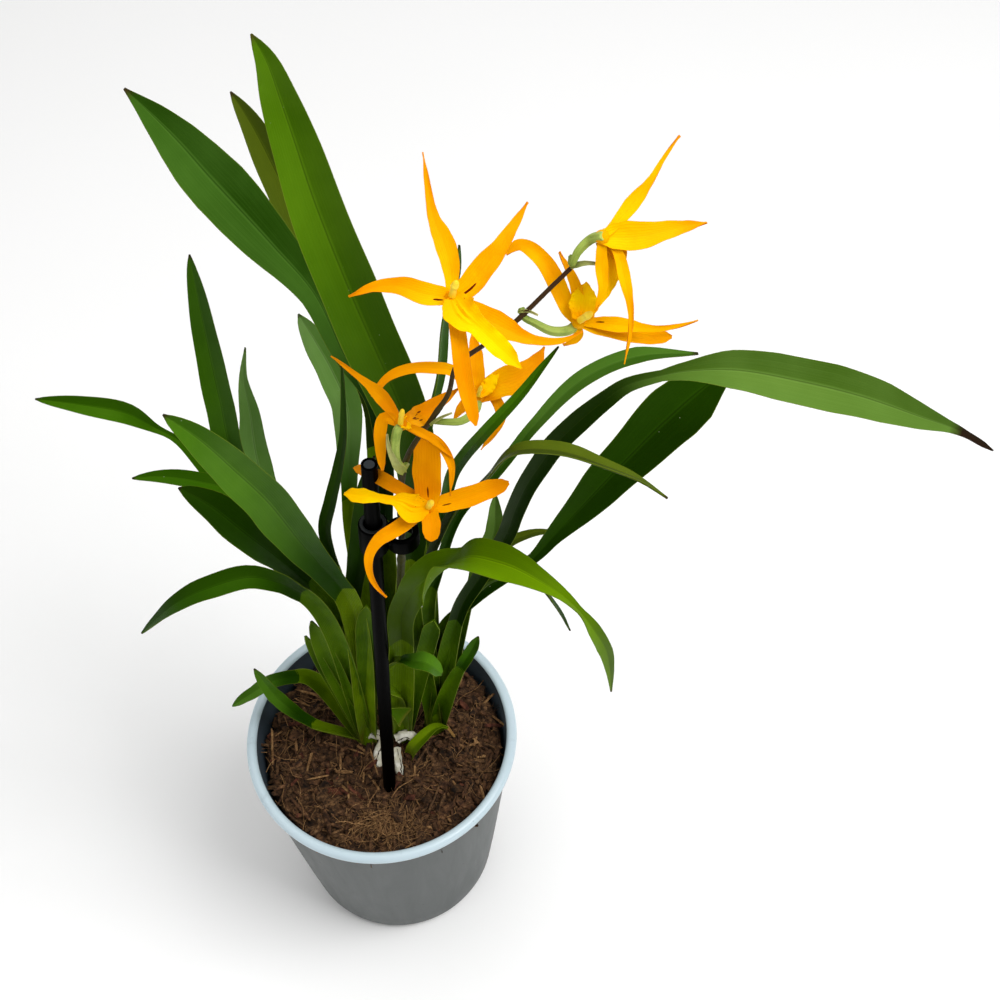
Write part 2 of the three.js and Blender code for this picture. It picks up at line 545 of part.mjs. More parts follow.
// A growth's foot and sheaths as one body, or a slightly larger copy that others are cut back by.
function growthForm(name, extra = 0) {
  const [x, y] = growthFeet[name];
  const foot = lathe([
    [0, soilHeight - footDepth], [footRadius + extra, soilHeight - footDepth],
    [footRadius + extra, soilHeight + 6], [footRadius * 0.75 + extra, soilHeight + 26], [0, soilHeight + 40],
  ], 12).translate(x, y, 0);
  const sheaths = leaves.filter((leaf) => leaf.growth === name).map((leaf) => sheath(leaf, extra));
  return joined([foot, ...sheaths]);
}

addPiece('pot', potGeometry(), paint.pot);

const footHoles = Object.values(growthFeet)
  .map((foot) => cylinder(footRadius + gap, soilHeight - footDepth - 1, soilHeight + 30, foot));
const rootHoles = rootPaths.map((path) => tube(path, rootRadius + gap, rootRadius + gap, 4));
const holes = joined([...footHoles, ...rootHoles]).add(spikeClear).add(stakeClear);
addPiece('growing_medium', geometryOf(largestBody(solid(soilGeometry()).subtract(holes))), paint.soil);

addPiece('stake', stake, paint.plastic);
addPiece('stem_clip', clipGeometry(spikeClear), paint.plastic);
rootPaths.forEach((path, number) => {
  addPiece(`root_${number + 1}`, tube(path, rootRadius, rootRadius, 4), paint.root);
});

let taken = bladeClear.add(spikeClear).add(stakeClear);
for (const name of Object.keys(growthFeet)) {
  addPiece(`growth_${name}`, geometryOf(largestBody(growthForm(name).subtract(taken))), paint.sheath);
  taken = taken.add(growthForm(name, gap));
}
for (const leaf of leaves) {
  addPiece(leaf.name, blade(leaf), leaf.pale ? paint.paleLeaf : paint.leaf);
}

addPiece('flower_spike', geometryOf(spike), paint.spike);
for (const bloom of blooms) {
  addPiece(`${bloom.name}_tepals`, geometryOf(bloomTepals(bloom)), paint.tepal);
  addPiece(`${bloom.name}_lip`, geometryOf(bloomLip(bloom)), paint.lip);
  addPiece(`${bloom.name}_stalk`, geometryOf(bloomStalk(bloom)), paint.stalk);
}

export default orchid;
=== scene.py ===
# A flowering brassia orchid in a plastic pot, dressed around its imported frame.
# Tables of places and widths are in millimetres; meshes are in metres.
import bisect
import math
import random

import bpy
from mathutils import Matrix, Vector, noise


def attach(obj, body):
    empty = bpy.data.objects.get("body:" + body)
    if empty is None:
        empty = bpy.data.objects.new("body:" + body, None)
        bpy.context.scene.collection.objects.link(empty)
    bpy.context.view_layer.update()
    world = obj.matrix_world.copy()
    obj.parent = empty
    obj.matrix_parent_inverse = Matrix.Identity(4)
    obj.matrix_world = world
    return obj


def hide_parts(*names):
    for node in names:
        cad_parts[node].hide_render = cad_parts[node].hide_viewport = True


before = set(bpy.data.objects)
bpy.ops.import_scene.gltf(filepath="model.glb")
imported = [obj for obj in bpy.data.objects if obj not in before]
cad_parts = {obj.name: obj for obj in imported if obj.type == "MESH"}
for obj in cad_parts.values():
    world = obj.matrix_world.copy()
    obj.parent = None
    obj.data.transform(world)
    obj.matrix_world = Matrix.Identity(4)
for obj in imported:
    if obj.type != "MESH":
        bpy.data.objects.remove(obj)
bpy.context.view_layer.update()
bpy.ops.object.select_all(action="DESELECT")
print("frame loaded,", len(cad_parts), "nodes")

mm = 0.001


def lerp(a, b, t):
    return a + (b - a) * t


def smoothstep(low, high, value):
    t = min(max((value - low) / (high - low), 0), 1)
    return t * t * (3 - 2 * t)


def bump(value, centre, width):
    return math.exp(-(((value - centre) / width) ** 2))


# The value at t of a row of (t, value) marks, straight from mark to mark or partly eased.
def valueAt(marks, t, ease=0):
    for (low, first), (high, last) in zip(marks, marks[1:]):
        if t <= high:
            return lerp(first, last, lerp((t - low) / (high - low), smoothstep(low, high, t), ease))
    return marks[-1][1]


# A smooth curve through points, as a function from 0..1 to the place and direction there.
def pathThrough(points):
    knots = [Vector(point) for point in points]
    knots = [2 * knots[0] - knots[1], *knots, 2 * knots[-1] - knots[-2]]
    fine = []
    for before, start, end, after in zip(knots, knots[1:], knots[2:], knots[3:]):
        first = (start - before).length ** 0.5
        middle = (end - start).length ** 0.5
        last = (after - end).length ** 0.5
        leave = (start - before) / first - (end - before) / (first + middle) + (end - start) / middle
        arrive = (end - start) / middle - (after - start) / (middle + last) + (after - end) / last
        leave *= middle
        arrive *= middle
        for step in range(24):
            s = step / 24
            fine.append(start + leave * s + (3 * end - 3 * start - 2 * leave - arrive) * s * s
                        + (2 * start - 2 * end + leave + arrive) * s ** 3)
    fine.append(knots[-2])
    return alongPoints(fine)


def alongPoints(fine):
    reach = [0]
    for a, b in zip(fine, fine[1:]):
        reach.append(reach[-1] + (b - a).length)

    def placeAt(t):
        wanted = min(max(t, 0), 1) * reach[-1]
        right = min(max(bisect.bisect_left(reach, wanted), 1), len(fine) - 1)
        share = (wanted - reach[right - 1]) / (reach[right] - reach[right - 1])
        return fine[right - 1].lerp(fine[right], share)

    def along(t):
        step = 0.012
        return placeAt(t), (placeAt(t + step) - placeAt(t - step)).normalized()

    along.length = reach[-1]
    return along


def selectOnly(piece):
    bpy.ops.object.select_all(action="DESELECT")
    piece.select_set(True)
    bpy.context.view_layer.objects.active = piece


# A flat grid bent to a formula: place(across -1..1, along 0..1) gives millimetres.
def bendGrid(name, columns, rows, place):
    bpy.ops.mesh.primitive_grid_add(x_subdivisions=columns, y_subdivisions=rows, size=2)
    piece = bpy.context.object
    piece.name = piece.data.name = name
    for vertex in piece.data.vertices:
        vertex.co = place(-vertex.co.x, (vertex.co.y + 1) / 2) * mm
    return piece


def applyModifier(piece, kind, **settings):
    selectOnly(piece)
    modifier = piece.modifiers.new(kind, kind)
    for name, value in settings.items():
        setattr(modifier, name, value)
    bpy.ops.object.modifier_apply(modifier=modifier.name)


def weldSeams(piece, closeEnds=False):
    selectOnly(piece)
    bpy.ops.object.mode_set(mode="EDIT")
    bpy.ops.mesh.select_all(action="SELECT")
    bpy.ops.mesh.remove_doubles(threshold=0.00001)
    if closeEnds:
        bpy.ops.mesh.select_all(action="DESELECT")
        bpy.ops.mesh.select_non_manifold()
        bpy.ops.mesh.fill_holes(sides=0)
        bpy.ops.mesh.select_all(action="SELECT")
    bpy.ops.mesh.normals_make_consistent(inside=False)
    bpy.ops.object.mode_set(mode="OBJECT")


def shadeSmooth(piece, degrees=50):
    selectOnly(piece)
    bpy.ops.object.shade_smooth_by_angle(angle=math.radians(degrees))


def joinPieces(pieces, name):
    selectOnly(pieces[0])
    for piece in pieces:
        piece.select_set(True)
    bpy.ops.object.join()
    joined = bpy.context.object
    joined.name = joined.data.name = name
    return joined


def giveFinishes(piece, *materials):
    for material in materials:
        piece.data.materials.append(material)


# Each finished piece rides with the plant and stands for parts of the frame.
def finishPiece(piece, nodes=()):
    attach(piece, "root")
    if nodes:
        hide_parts(*nodes)


# A round tube with its seam closed. radiusAt(along, angle) gives its radius.
def sweepTube(name, along, radiusAt, sides=16, rows=40, upHint=(0, 0, 1)):
    frames = []
    side = None
    for row in range(rows + 1):
        centre, tangent = along(row / rows)
        if side is None:
            side = Vector(upHint).cross(tangent)
            if side.length < 0.05:
                side = Vector((1, 0, 0)).cross(tangent)
        side = (side - tangent * side.dot(tangent)).normalized()
        frames.append((centre, side, tangent.cross(side)))

    def place(s, t):
        centre, across, up = frames[round(t * rows)]
        angle = math.pi * s
        return centre + (across * math.cos(angle) + up * math.sin(angle)) * radiusAt(t, angle)

    tube = bendGrid(name, sides, rows, place)
    weldSeams(tube, closeEnds=True)
    return tube


# A thin sheet along a path, folded along its middle, with an upper and an under finish.
def sweepSheet(name, along, faceAt, halfWidthAt, riseAt, thickness, columns, rows, finishes, keel=0,
               edge=0.35):
    frames = []
    for row in range(rows + 1):
        t = row / rows
        centre, tangent = along(t)
        side = faceAt(t).cross(tangent).normalized()
        frames.append((centre, side, tangent.cross(side)))

    def place(s, t):
        centre, side, up = frames[round(t * rows)]
        return centre + side * s * halfWidthAt(t, s) + up * riseAt(t, s)

    sheet = bendGrid(name, columns, rows, place)
    giveFinishes(sheet, *finishes)
    count = len(sheet.data.vertices)
    applyModifier(sheet, "SOLIDIFY", thickness=thickness * mm, offset=-1, use_even_offset=False,
                  material_offset=1, material_offset_rim=1)
    vertices = sheet.data.vertices
    for row in range(rows + 1):
        for column in range(columns + 1):
            s = 1 - 2 * column / columns
            upper = vertices[row * (columns + 1) + column]
            lower = vertices[count + row * (columns + 1) + column]
            lower.co = upper.co.lerp(lower.co, lerp(1, edge, abs(s) ** 6))
            lower.co -= frames[row][2] * keel * (1 - row / rows) * bump(s, 0, 0.14) * mm
    shadeSmooth(sheet, 55)
    return sheet


def tint(code):
    parts = [int(code[i:i + 2], 16) / 255 for i in (0, 2, 4)]
    return (*[c / 12.92 if c < 0.04045 else ((c + 0.055) / 1.055) ** 2.4 for c in parts], 1)


def tints(codes):
    return [tint(code) for code in codes.split()]


def darker(colour, share):
    return (*[part * share for part in colour[:3]], 1)


class Finish:
    # A material under construction: its tree and short ways to add nodes to it.
    def __init__(self, name, **sockets):
        self.material = bpy.data.materials.new(name)
        self.material.use_nodes = True
        self.tree = self.material.node_tree
        self.surface = self.tree.nodes["Principled BSDF"]
        for socket, value in sockets.items():
            self.surface.inputs[socket.replace("_", " ")].default_value = value
        self.coords = self.add("ShaderNodeTexCoord")

    def add(self, kind, values=None, **settings):
        node = self.tree.nodes.new(kind)
        for name, value in settings.items():
            setattr(node, name, value)
        for socket, value in (values or {}).items():
            self.plug(node.inputs[socket], value)
        return node

    def plug(self, socket, value):
        if isinstance(value, bpy.types.NodeSocket):
            self.tree.links.new(value, socket)
        else:
            socket.default_value = value

    def math(self, operation, a, b=0.0):
        return self.add("ShaderNodeMath", {0: a, 1: b}, operation=operation).outputs[0]

    def scale(self, value, amount, start=0.0):
        scaled = self.math("MULTIPLY", value, amount)
        return self.math("ADD", scaled, start) if start else scaled

    def mix(self, factor, a, b):
        return self.add("ShaderNodeMix", {0: factor, 6: a, 7: b}, data_type="RGBA").outputs[2]

    # Lays another colour over the first, where the factor says and as strongly as asked.
    def over(self, colour, other, factor, strength):
        return self.mix(self.scale(factor, strength), colour, other)

    def step(self, value, low, high):
        values = {0: value, 1: low, 2: high, 3: 0.0, 4: 1.0}
        return self.add("ShaderNodeMapRange", values, interpolation_type="SMOOTHSTEP").outputs[0]

    def uv(self):
        parts = self.add("ShaderNodeSeparateXYZ", {0: self.coords.outputs["UV"]})
        return parts.outputs[0], parts.outputs[1]

    # How far a place on a sheet is from its middle, from 0 to 1 at either edge.
    def fromMiddle(self, u):
        return self.math("ABSOLUTE", self.math("SUBTRACT", self.scale(u, 2.0), 1.0))

    # Lengthwise ribs from 0 to 1, bent where they wander and thinned by a power.
    def ribs(self, place, count, wander=None, power=1.0):
        turn = self.scale(place, count)
        if wander is not None:
            turn = self.math("ADD", turn, wander)
        wave = self.scale(self.math("COSINE", turn), 0.5, 0.5)
        return self.math("POWER", wave, power) if power > 1 else wave

    def spread(self, vector, stretch):
        return self.add("ShaderNodeMapping", {0: vector, 3: stretch}).outputs[0] if stretch else vector

    def noise(self, scale, detail=3.0, rough=0.55, stretch=None, space="Object", distortion=0.0):
        values = {"Vector": self.spread(self.coords.outputs[space], stretch), "Scale": scale,
                  "Detail": detail, "Roughness": rough, "Distortion": distortion}
        return self.add("ShaderNodeTexNoise", values).outputs[0]

    def cells(self, scale, stretch=None):
        values = {"Vector": self.spread(self.coords.outputs["Object"], stretch), "Scale": scale}
        return self.add("ShaderNodeTexVoronoi", values).outputs["Distance"]

    # Small round dots, only where a slower noise lets them be.
    def dots(self, size, outer, inner, where, low, high, detail=1):
        dots = self.step(self.cells(size), outer, inner)
        return self.math("MULTIPLY", dots, self.step(self.noise(where, detail), low, high))

    def paint(self, colour, roughness, height=None, depth=0.0001, strength=0.5):
        inputs = self.surface.inputs
        self.plug(inputs["Base Color"], colour)
        self.plug(inputs["Roughness"], roughness)
        if height is not None:
            values = {"Height": height, "Distance": depth, "Strength": strength}
            self.plug(inputs["Normal"], self.add("ShaderNodeBump", values).outputs[0])
        return self.material


# A leaf face: parallel veins, a painted lit half and a painted shaded half, a midrib line, light margins, a
# worn tip and a few dried water spots. fade says where the joint's colour ends, and lit which half takes the
# painted light.
def leafFinish(name, body, light, joint, tip, gloss=0.34, under=False, tipFrom=0.99, fade=(0.34, 0.05),
               lit=1):
    finish = Finish(name, Specular_IOR_Level=0.03 if under else 0.08, Specular_Tint=tint("c4e060"))
    u, v = finish.uv()
    across = finish.fromMiddle(u)
    streak = finish.noise(1, 4, 0.6, stretch=(46, 2.2, 1), space="UV")
    vein = finish.ribs(across, 62.0, finish.scale(finish.noise(30, 2), 1.6), 5.0)
    colour = finish.over(body, light, finish.step(finish.noise(26, 3), 0.34, 0.7), 0.5)
    colour = finish.over(colour, light, finish.step(streak, 0.5, 0.75), 0.28)
    colour = finish.over(colour, light, vein, 0.1)
    # Painted light and shade: one half of the blade is lightened and the other darkened, as light falls
    # across the folded leaf.
    half = finish.step(u, 0.5 + 0.05 * lit, 0.5 - 0.05 * lit)
    colour = finish.over(colour, light, half, 0.3)
    colour = finish.over(colour, darker(body, 0.5), finish.math("SUBTRACT", 1.0, half), 0.3)
    colour = finish.over(colour, light, finish.step(across, 0.13, 0.04), 0.45)
    # The joint's darker green is partly the leaf's own colour near its joint and partly painted shade on the
    # lower blade.
    colour = finish.mix(finish.step(v, *fade), colour, joint)
    groove = finish.scale(finish.step(across, 0.045, 0.012), 0.1 if under else 0.5)
    colour = finish.mix(groove, colour, darker(body, 0.35))
    colour = finish.over(colour, tint("728420"), finish.step(across, 0.965, 0.995), 0.45)
    ragged = finish.math("ADD", v, finish.scale(finish.noise(160, 2), 0.02))
    colour = finish.mix(finish.step(ragged, tipFrom, tipFrom + 0.02), colour, tip)
    colour = finish.over(colour, tint("c3cfae"), finish.dots(230, 0.07, 0.03, 38, 0.6, 0.66), 0.5)
    relief = finish.math("ADD", finish.scale(vein, 0.6), finish.scale(streak, 0.5))
    relief = finish.math("SUBTRACT", relief, finish.scale(groove, 3.0))
    return finish.paint(colour, finish.scale(finish.noise(140, 3), 0.22, gloss - 0.08), relief, strength=0.4)


# A clasping sheath: ribbed, yellow-green, with thin pale margins and a dry brown foot.
def sheathFinish(name, body, light, foot):
    finish = Finish(name, Specular_IOR_Level=0.08, Specular_Tint=tint("d0e068"))
    u, v = finish.uv()
    across = finish.fromMiddle(u)
    broad = finish.noise(34, 3)
    rib = finish.ribs(across, 44.0, finish.scale(finish.noise(40, 2), 1.2))
    colour = finish.mix(finish.step(broad, 0.35, 0.7), body, light)
    colour = finish.over(colour, light, rib, 0.2)
    colour = finish.mix(finish.step(finish.math("ADD", v, finish.scale(broad, 0.2)), 0.3, 0.1), colour, foot)
    colour = finish.over(colour, tint("a0aa44"), finish.step(across, 0.965, 0.995), 0.4)
    return finish.paint(colour, finish.scale(finish.noise(120, 3), 0.2, 0.34), rib, 0.00018, 0.6)


# A tepal or lip face: fine lengthwise veins, a lighter throat, and brown streaks where a mark is set.
def petalFinish(name, throat, body, edge, mark, speckle=0.0):
    finish = Finish(name, Subsurface_Weight=0.05, Subsurface_Scale=0.0015, Specular_IOR_Level=0.12,
                    Specular_Tint=tint("ffc850"), Subsurface_Radius=(1.0, 0.45, 0.1))
    u, v = finish.uv()
    across = finish.fromMiddle(u)
    broad = finish.noise(60, 3)
    vein = finish.ribs(across, 30.0, finish.scale(finish.noise(70, 2), 2.0), 4.0)
    colour = finish.mix(finish.step(v, 0.02, 0.55), throat, body)
    colour = finish.mix(finish.step(broad, 0.42, 0.75), colour, edge)
    colour = finish.over(colour, edge, finish.step(v, 0.6, 1.0), 0.7)
    colour = finish.over(colour, edge, vein, 0.22)
    colour = finish.over(colour, edge, finish.step(across, 0.12, 0.02), 0.3)
    place = finish.add("ShaderNodeUVMap", uv_map="mark").outputs[0]
    ragged = finish.add("ShaderNodeVectorMath", {0: place}, operation="LENGTH").outputs["Value"]
    ragged = finish.math("ADD", ragged, finish.scale(finish.noise(900, 2), 0.5))
    colour = finish.mix(finish.step(ragged, 1.3, 1.05), colour, mark)
    if speckle:
        throatDots = finish.math("MULTIPLY", finish.dots(900, 0.2, 0.12, 420, 0.52, 0.56),
                                 finish.step(v, 0.34, 0.1))
        colour = finish.over(colour, mark, throatDots, speckle)
    relief = finish.math("ADD", finish.scale(vein, 0.7), finish.scale(broad, 0.4))
    return finish.paint(colour, finish.scale(finish.noise(300, 3), 0.2, 0.38), relief)


# A stem or stalk: lengthwise ribs and blotches, running from one colour to another.
def stemFinish(name, start, end, blotch, ribs, blotchAmount=0.5):
    finish = Finish(name, Specular_IOR_Level=0.15)
    u, v = finish.uv()
    rib = finish.ribs(u, 2 * math.pi * ribs)
    broad = finish.noise(150, 4)
    fine = finish.noise(1100, 2)
    colour = finish.mix(v, start, end)
    colour = finish.over(colour, blotch, finish.step(broad, 0.5, 0.68), blotchAmount)
    colour = finish.over(colour, blotch, finish.step(fine, 0.6, 0.7), 0.35)
    relief = finish.math("ADD", rib, finish.scale(broad, 0.6))
    return finish.paint(colour, finish.scale(fine, 0.2, 0.42), relief, strength=0.6)


# A dry, flaking root: pale scales parted by dark lengthwise cracks.
def flakyFinish(name, body, light, crack):
    finish = Finish(name, Specular_IOR_Level=0.1)
    u, _ = finish.uv()
    broad = finish.noise(260, 4)
    rib = finish.ribs(u, 2 * math.pi * 4, finish.scale(finish.noise(150, 3), 9.0))
    split = finish.step(rib, 0.9, 0.985)
    colour = finish.mix(finish.step(broad, 0.4, 0.65), body, light)
    colour = finish.mix(finish.math("MULTIPLY", split, finish.step(broad, 0.36, 0.46)), colour, crack)
    return finish.paint(colour, 0.85, finish.math("SUBTRACT", broad, split), 0.0004, 0.8)


# Moulded plastic: a soft sheen with faint flow lines, grime and small scuffs.
def plasticFinish(name, body, grime, speck, roughness, speckAmount, shine=0.45):
    finish = Finish(name, Specular_IOR_Level=shine)
    colour = finish.over(body, grime, finish.step(finish.noise(16, 4, 0.6), 0.42, 0.72), 0.5)
    colour = finish.over(colour, speck, finish.dots(170, 0.11, 0.05, 60, 0.56, 0.62, 2), speckAmount)
    scuff = finish.noise(90, 5, 0.7, stretch=(1, 1, 0.12), distortion=0.6)
    colour = finish.over(colour, speck, finish.step(scuff, 0.6, 0.75), 0.18)
    grain = finish.noise(420, 3)
    return finish.paint(colour, finish.scale(scuff, 0.22, roughness - 0.1), grain, 0.00006, 0.35)


# Bark and coir: crumbs of several browns, with broad patches darkened as painted shade.
def barkFinish(name, dark, body, light, scale=240, stretch=None):
    finish = Finish(name, Specular_IOR_Level=0.25)
    fine = finish.noise(scale, 6, 0.7, stretch=stretch)
    colour = finish.mix(finish.step(fine, 0.36, 0.62), dark, body)
    colour = finish.over(colour, light, finish.step(fine, 0.56, 0.75), 0.75)
    # Painted shade: broad noise patches pulled toward the dark brown.
    colour = finish.over(colour, dark, finish.step(finish.noise(55, 4), 0.5, 0.7), 0.4)
    relief = finish.math("ADD", fine, finish.scale(finish.cells(scale * 1.6, stretch), 0.6))
    return finish.paint(colour, 0.9, relief, 0.0006, 0.8)


# Each palette has the colours of the blade, its light parts, its joint (partly painted shade) and its tip.
leafPalettes = {
    "deep": ("264c00 42700a 1d3c00 2e2a10", {}),
    "shade": ("1c3a00 305606 173200 2a2410", {}),
    "dark": ("163200 284a06 122c00 241d10", {}),
    "grey": ("44641a 66883a 223e02 26180e", {}),
    "long": ("44641a 66883a 122a00 24140c", {"tipFrom": 0.93, "fade": (0.63, 0.5), "lit": -1}),
    "rear": ("345a10 547c2c 1a3a00 2a2410", {"fade": (0.6, 0.25)}),
    "tall": ("3c6200 5c8610 1e3c00 4a4418", {"fade": (0.9, 0.1)}),
    "fresh": ("345e04 588620 1e4200 2e2a10", {"fade": (0.55, 0.1)}),
    "arch": ("4c6c00 6e9404 3c5400 4a4418", {"fade": (0.35, 0.15), "lit": -1}),
    "pale": ("5e8c34 88ae62 2c5404 46522c", {"fade": (0.5, 0)}),
    "cool": ("244806 507a2a 0e2c02 3c3018", {"fade": (0.5, 0.3)}),
    "olive": ("38480c 5c6c14 1a2a00 3c3018", {"fade": (0.6, 0.42)}),
}
backShade, backShare = tint("4c5c18"), 0.3
leafFaces, leafBacks = {}, {}
for name, (codes, settings) in leafPalettes.items():
    *colours, tip = tints(codes)
    leafFaces[name] = leafFinish("leaf " + name, *colours, tip, **settings)
    duller = [tuple(lerp(c, g, backShare) for c, g in zip(colour, backShade)) for colour in colours]
    leafBacks[name] = leafFinish("leaf back " + name, *duller, tip, gloss=0.55, under=True, **settings)
shootFinish = leafFinish("young shoot", *tints("4c6a00 7c9410 6a7c10 a8804a"), tipFrom=0.82)
sheathPlain = sheathFinish("sheath", *tints("4e6a00 708c08 6e6a1c"))
sheathGreen = sheathFinish("green sheath", *tints("345400 527204 5c601a"))
tepalFaces = {name: petalFinish("tepal " + name, *tints(codes)) for name, codes in {
    "amber": "f8ba00 f4a000 e88a00 5e1c04",
    "orange": "f0a800 e69400 da8200 5e1c04",
    "gold": "fac200 f6ae00 ee9800 5e1c04",
}.items()}
tepalBack = petalFinish("tepal back", *tints("ea9600 e08400 d27400 8a3a0a"))
lipFace = petalFinish("lip face", *tints("fcae00 fcd000 fbbc00 8a3208"), speckle=0.7)
columnFinish = petalFinish("column", *tints("f8c81a fbe050 f6cc2c 8a3208"), speckle=0.5)
stalkFinish = stemFinish("flower stalk", *tints("7c9038 a8ba58 5f7a2a"), ribs=6)
bractFinish = stemFinish("bract", *tints("8c9a44 bcb878 7c7440"), ribs=9, blotchAmount=0.3)
spikeFinish = stemFinish("flower spike", *tints("4c5a12 3a2412 2a1a10"), ribs=5)
rootFinish = flakyFinish("root", *tints("bdb8a2 dad7ca 3a3024"))
# The pot is one pale grey-blue plastic: the rim's pale colour is painted light, the greyer outside and the
# darker inside are painted shade.
shadedPotOutside = plasticFinish("pot outside painted shade", *tints("4a4f4e 434847 161618"), 0.45, 0.85, 0.3)
litPotRim = plasticFinish("pot rim painted light", *tints("c4d6de b2c6d0 6a747c"), 0.3, 0.4)
shadedPotInside = plasticFinish("pot inside painted shade", *tints("46525c 2f3840 1c2228"), 0.45, 0.5, 0.3)
blackPlastic = plasticFinish("black plastic", *tints("000000 020202 060607"), 0.42, 0.2, 0.015)
stakeEnd = plasticFinish("stake end", *tints("30363c 22272b 50565e"), 0.4, 0.5, 0.3)
# A lighter grey than the black plastic, for a painted highlight along the clip's edge.
clipEdgeHighlight = plasticFinish("clip edge painted highlight", *tints("181b1d 101112 3a3e42"), 0.4, 0.4, 0.2)
bedFinish = barkFinish("bark bed", *tints("140b05 583c25 987450"))
chipFinish = barkFinish("bark chips", *tints("2a190e 64442b 9c7650"), 420, (1, 1, 0.3))
redChipFinish = barkFinish("reddish chips", *tints("32170e 643826 8a5a40"), 420, (1, 1, 0.3))
fibreFinish = barkFinish("coir fibres", *tints("6a4a2c 9c764c cfa874"), 500)
darkFibreFinish = barkFinish("dark fibres", *tints("1c1008 3c2614 5e4024"), 500)
crumbFinish = barkFinish("coir crumbs", *tints("28190e 6a4c30 a07a52"), 600)
print("finishes made")


# paleAbove and paleOutside bound the rim faces that take the painted light.
pot = {
    "height": 132, "baseRadius": 48.5, "rimRadius": 65, "wall": 2, "lipWidth": 5, "floor": 3, "sides": 160,
    "outerRoll": 2.4, "innerRoll": 2.2, "paleAbove": 125.2, "paleOutside": 60.2,
}


def wallRadius(z):
    return lerp(pot["baseRadius"], pot["rimRadius"] - 2.5, (z / pot["height"]) ** 0.9)


# The wall's outline from the middle of the base, up the outside, over the rolled rim and down to the floor.
def potOutline():
    top, rim = pot["height"], pot["rimRadius"]
    inner = rim - pot["lipWidth"]
    base = pot["baseRadius"]
    outer, inside = pot["outerRoll"], pot["innerRoll"]
    outline = [(0, 1.2), (base - 9, 1.2), (base - 7.5, 0), (base - 3.2, 0), (base - 1.2, 0.6),
               (base - 0.2, 2.4)]
    outline += [(wallRadius(z), z) for z in (6, 16, 30, 46, 62, 78, 94, 110, 120, 124.4)]
    outline += [(wallRadius(125) + 0.2, 126.0)]
    for turn in range(9):
        angle = math.radians(-60 + turn * 18.75)
        outline.append((rim - outer + outer * math.cos(angle), top - 2.6 + 2.6 * math.sin(angle)))
    for turn in range(7):
        angle = math.radians(90 + turn * 18)
        outline.append((inner + inside + inside * math.cos(angle), top - inside + inside * math.sin(angle)))
    outline += [(inner + 0.05, 127), (inner - 0.3, 122)]
    outline += [(wallRadius(z) - pot["wall"], z) for z in (110, 90, 60, 30, 8)]
    outline += [(base - pot["wall"] - 1.5, 4.2), (base - 6, pot["floor"]), (0, pot["floor"])]
    return outline


def buildPot():
    outline = potOutline()
    first, height = outline[1]
    bpy.ops.mesh.primitive_circle_add(vertices=pot["sides"], radius=first * mm, fill_type="TRIFAN",
                                      location=(0, 0, height * mm))
    shell = bpy.context.object
    shell.name = shell.data.name = "pot_shell"
    bpy.ops.object.transform_apply(location=True)
    bpy.ops.object.mode_set(mode="EDIT")
    bpy.ops.mesh.select_all(action="SELECT")
    bpy.ops.mesh.region_to_loop()
    radius = first
    for nextRadius, nextHeight in outline[2:-1]:
        rise = (0, 0, (nextHeight - height) * mm)
        bpy.ops.mesh.extrude_edges_move(TRANSFORM_OT_translate={"value": rise})
        bpy.ops.transform.resize(value=(nextRadius / radius,) * 2 + (1,), center_override=(0, 0, 0))
        radius, height = nextRadius, nextHeight
    bpy.ops.mesh.edge_face_add()
    bpy.ops.mesh.poke()
    bpy.ops.mesh.select_all(action="SELECT")
    bpy.ops.mesh.normals_make_consistent(inside=False)
    bpy.ops.object.mode_set(mode="OBJECT")
    giveFinishes(shell, shadedPotOutside, litPotRim, shadedPotInside)
    # Rim faces take the painted light, inner wall faces the darker painted shade, and the rest the outside's
    # painted shade.
    for face in shell.data.polygons:
        z = face.center.z / mm
        out = face.normal.x * face.center.x + face.normal.y * face.center.y > 0
        reach = face.center.xy.length / mm
        if z > pot["paleAbove"] and reach > pot["paleOutside"]:
            face.material_index = 1
        elif not out and z > pot["floor"] - 0.5 and reach < wallRadius(z) - 1:
            face.material_index = 2
    shadeSmooth(shell, 40)
    finishPiece(shell, ["pot"])


buildPot()
print("pot built")


# The potting mix: a lumpy bed of crumbs, with chips and coir lying on it.
mix = {
    "height": 117, "radius": 57.4, "foot": 44.4, "floor": 5.2, "strewn": 0.975, "seed": 11,
    "topShare": 0.72, "sideShare": 0.6, "edgeDrop": 3,
}


def bedHeight(x, y):
    swell = 1.6 * math.sin(0.21 * x + 0.7) * math.cos(0.17 * y) + math.sin(0.37 * y + 0.29 * x)
    lumps = noise.noise(Vector((x, y, 3)) * 0.16) * 2.6 + noise.noise(Vector((x, y, 9)) * 0.45) * 2.2
    return mix["height"] + swell * 0.8 + lumps + noise.noise(Vector((x, y, 21)) * 1.1) * 1.1


def buildBed():
    top, side = mix["topShare"], mix["sideShare"]

    def place(s, t):
        angle = math.pi * s
        if t < top:
            reach = mix["radius"] * t / top
            x, y = reach * math.cos(angle), reach * math.sin(angle)
            return Vector((x, y, bedHeight(x, y) - mix["edgeDrop"] * smoothstep(0.97, 1, t / top)))
        down = (t - top) / (1 - top)
        reach = lerp(mix["radius"], mix["foot"], min(down / side, 1)) * (1 - max(down - side, 0) / (1 - side))
        z = lerp(mix["height"] - 5, mix["floor"], min(down / side, 1))
        return Vector((reach * math.cos(angle), reach * math.sin(angle), z))

    bed = bendGrid("bark_bed", 300, 110, place)
    giveFinishes(bed, bedFinish)
    weldSeams(bed)
    shadeSmooth(bed, 60)
    finishPiece(bed, ["growing_medium"])


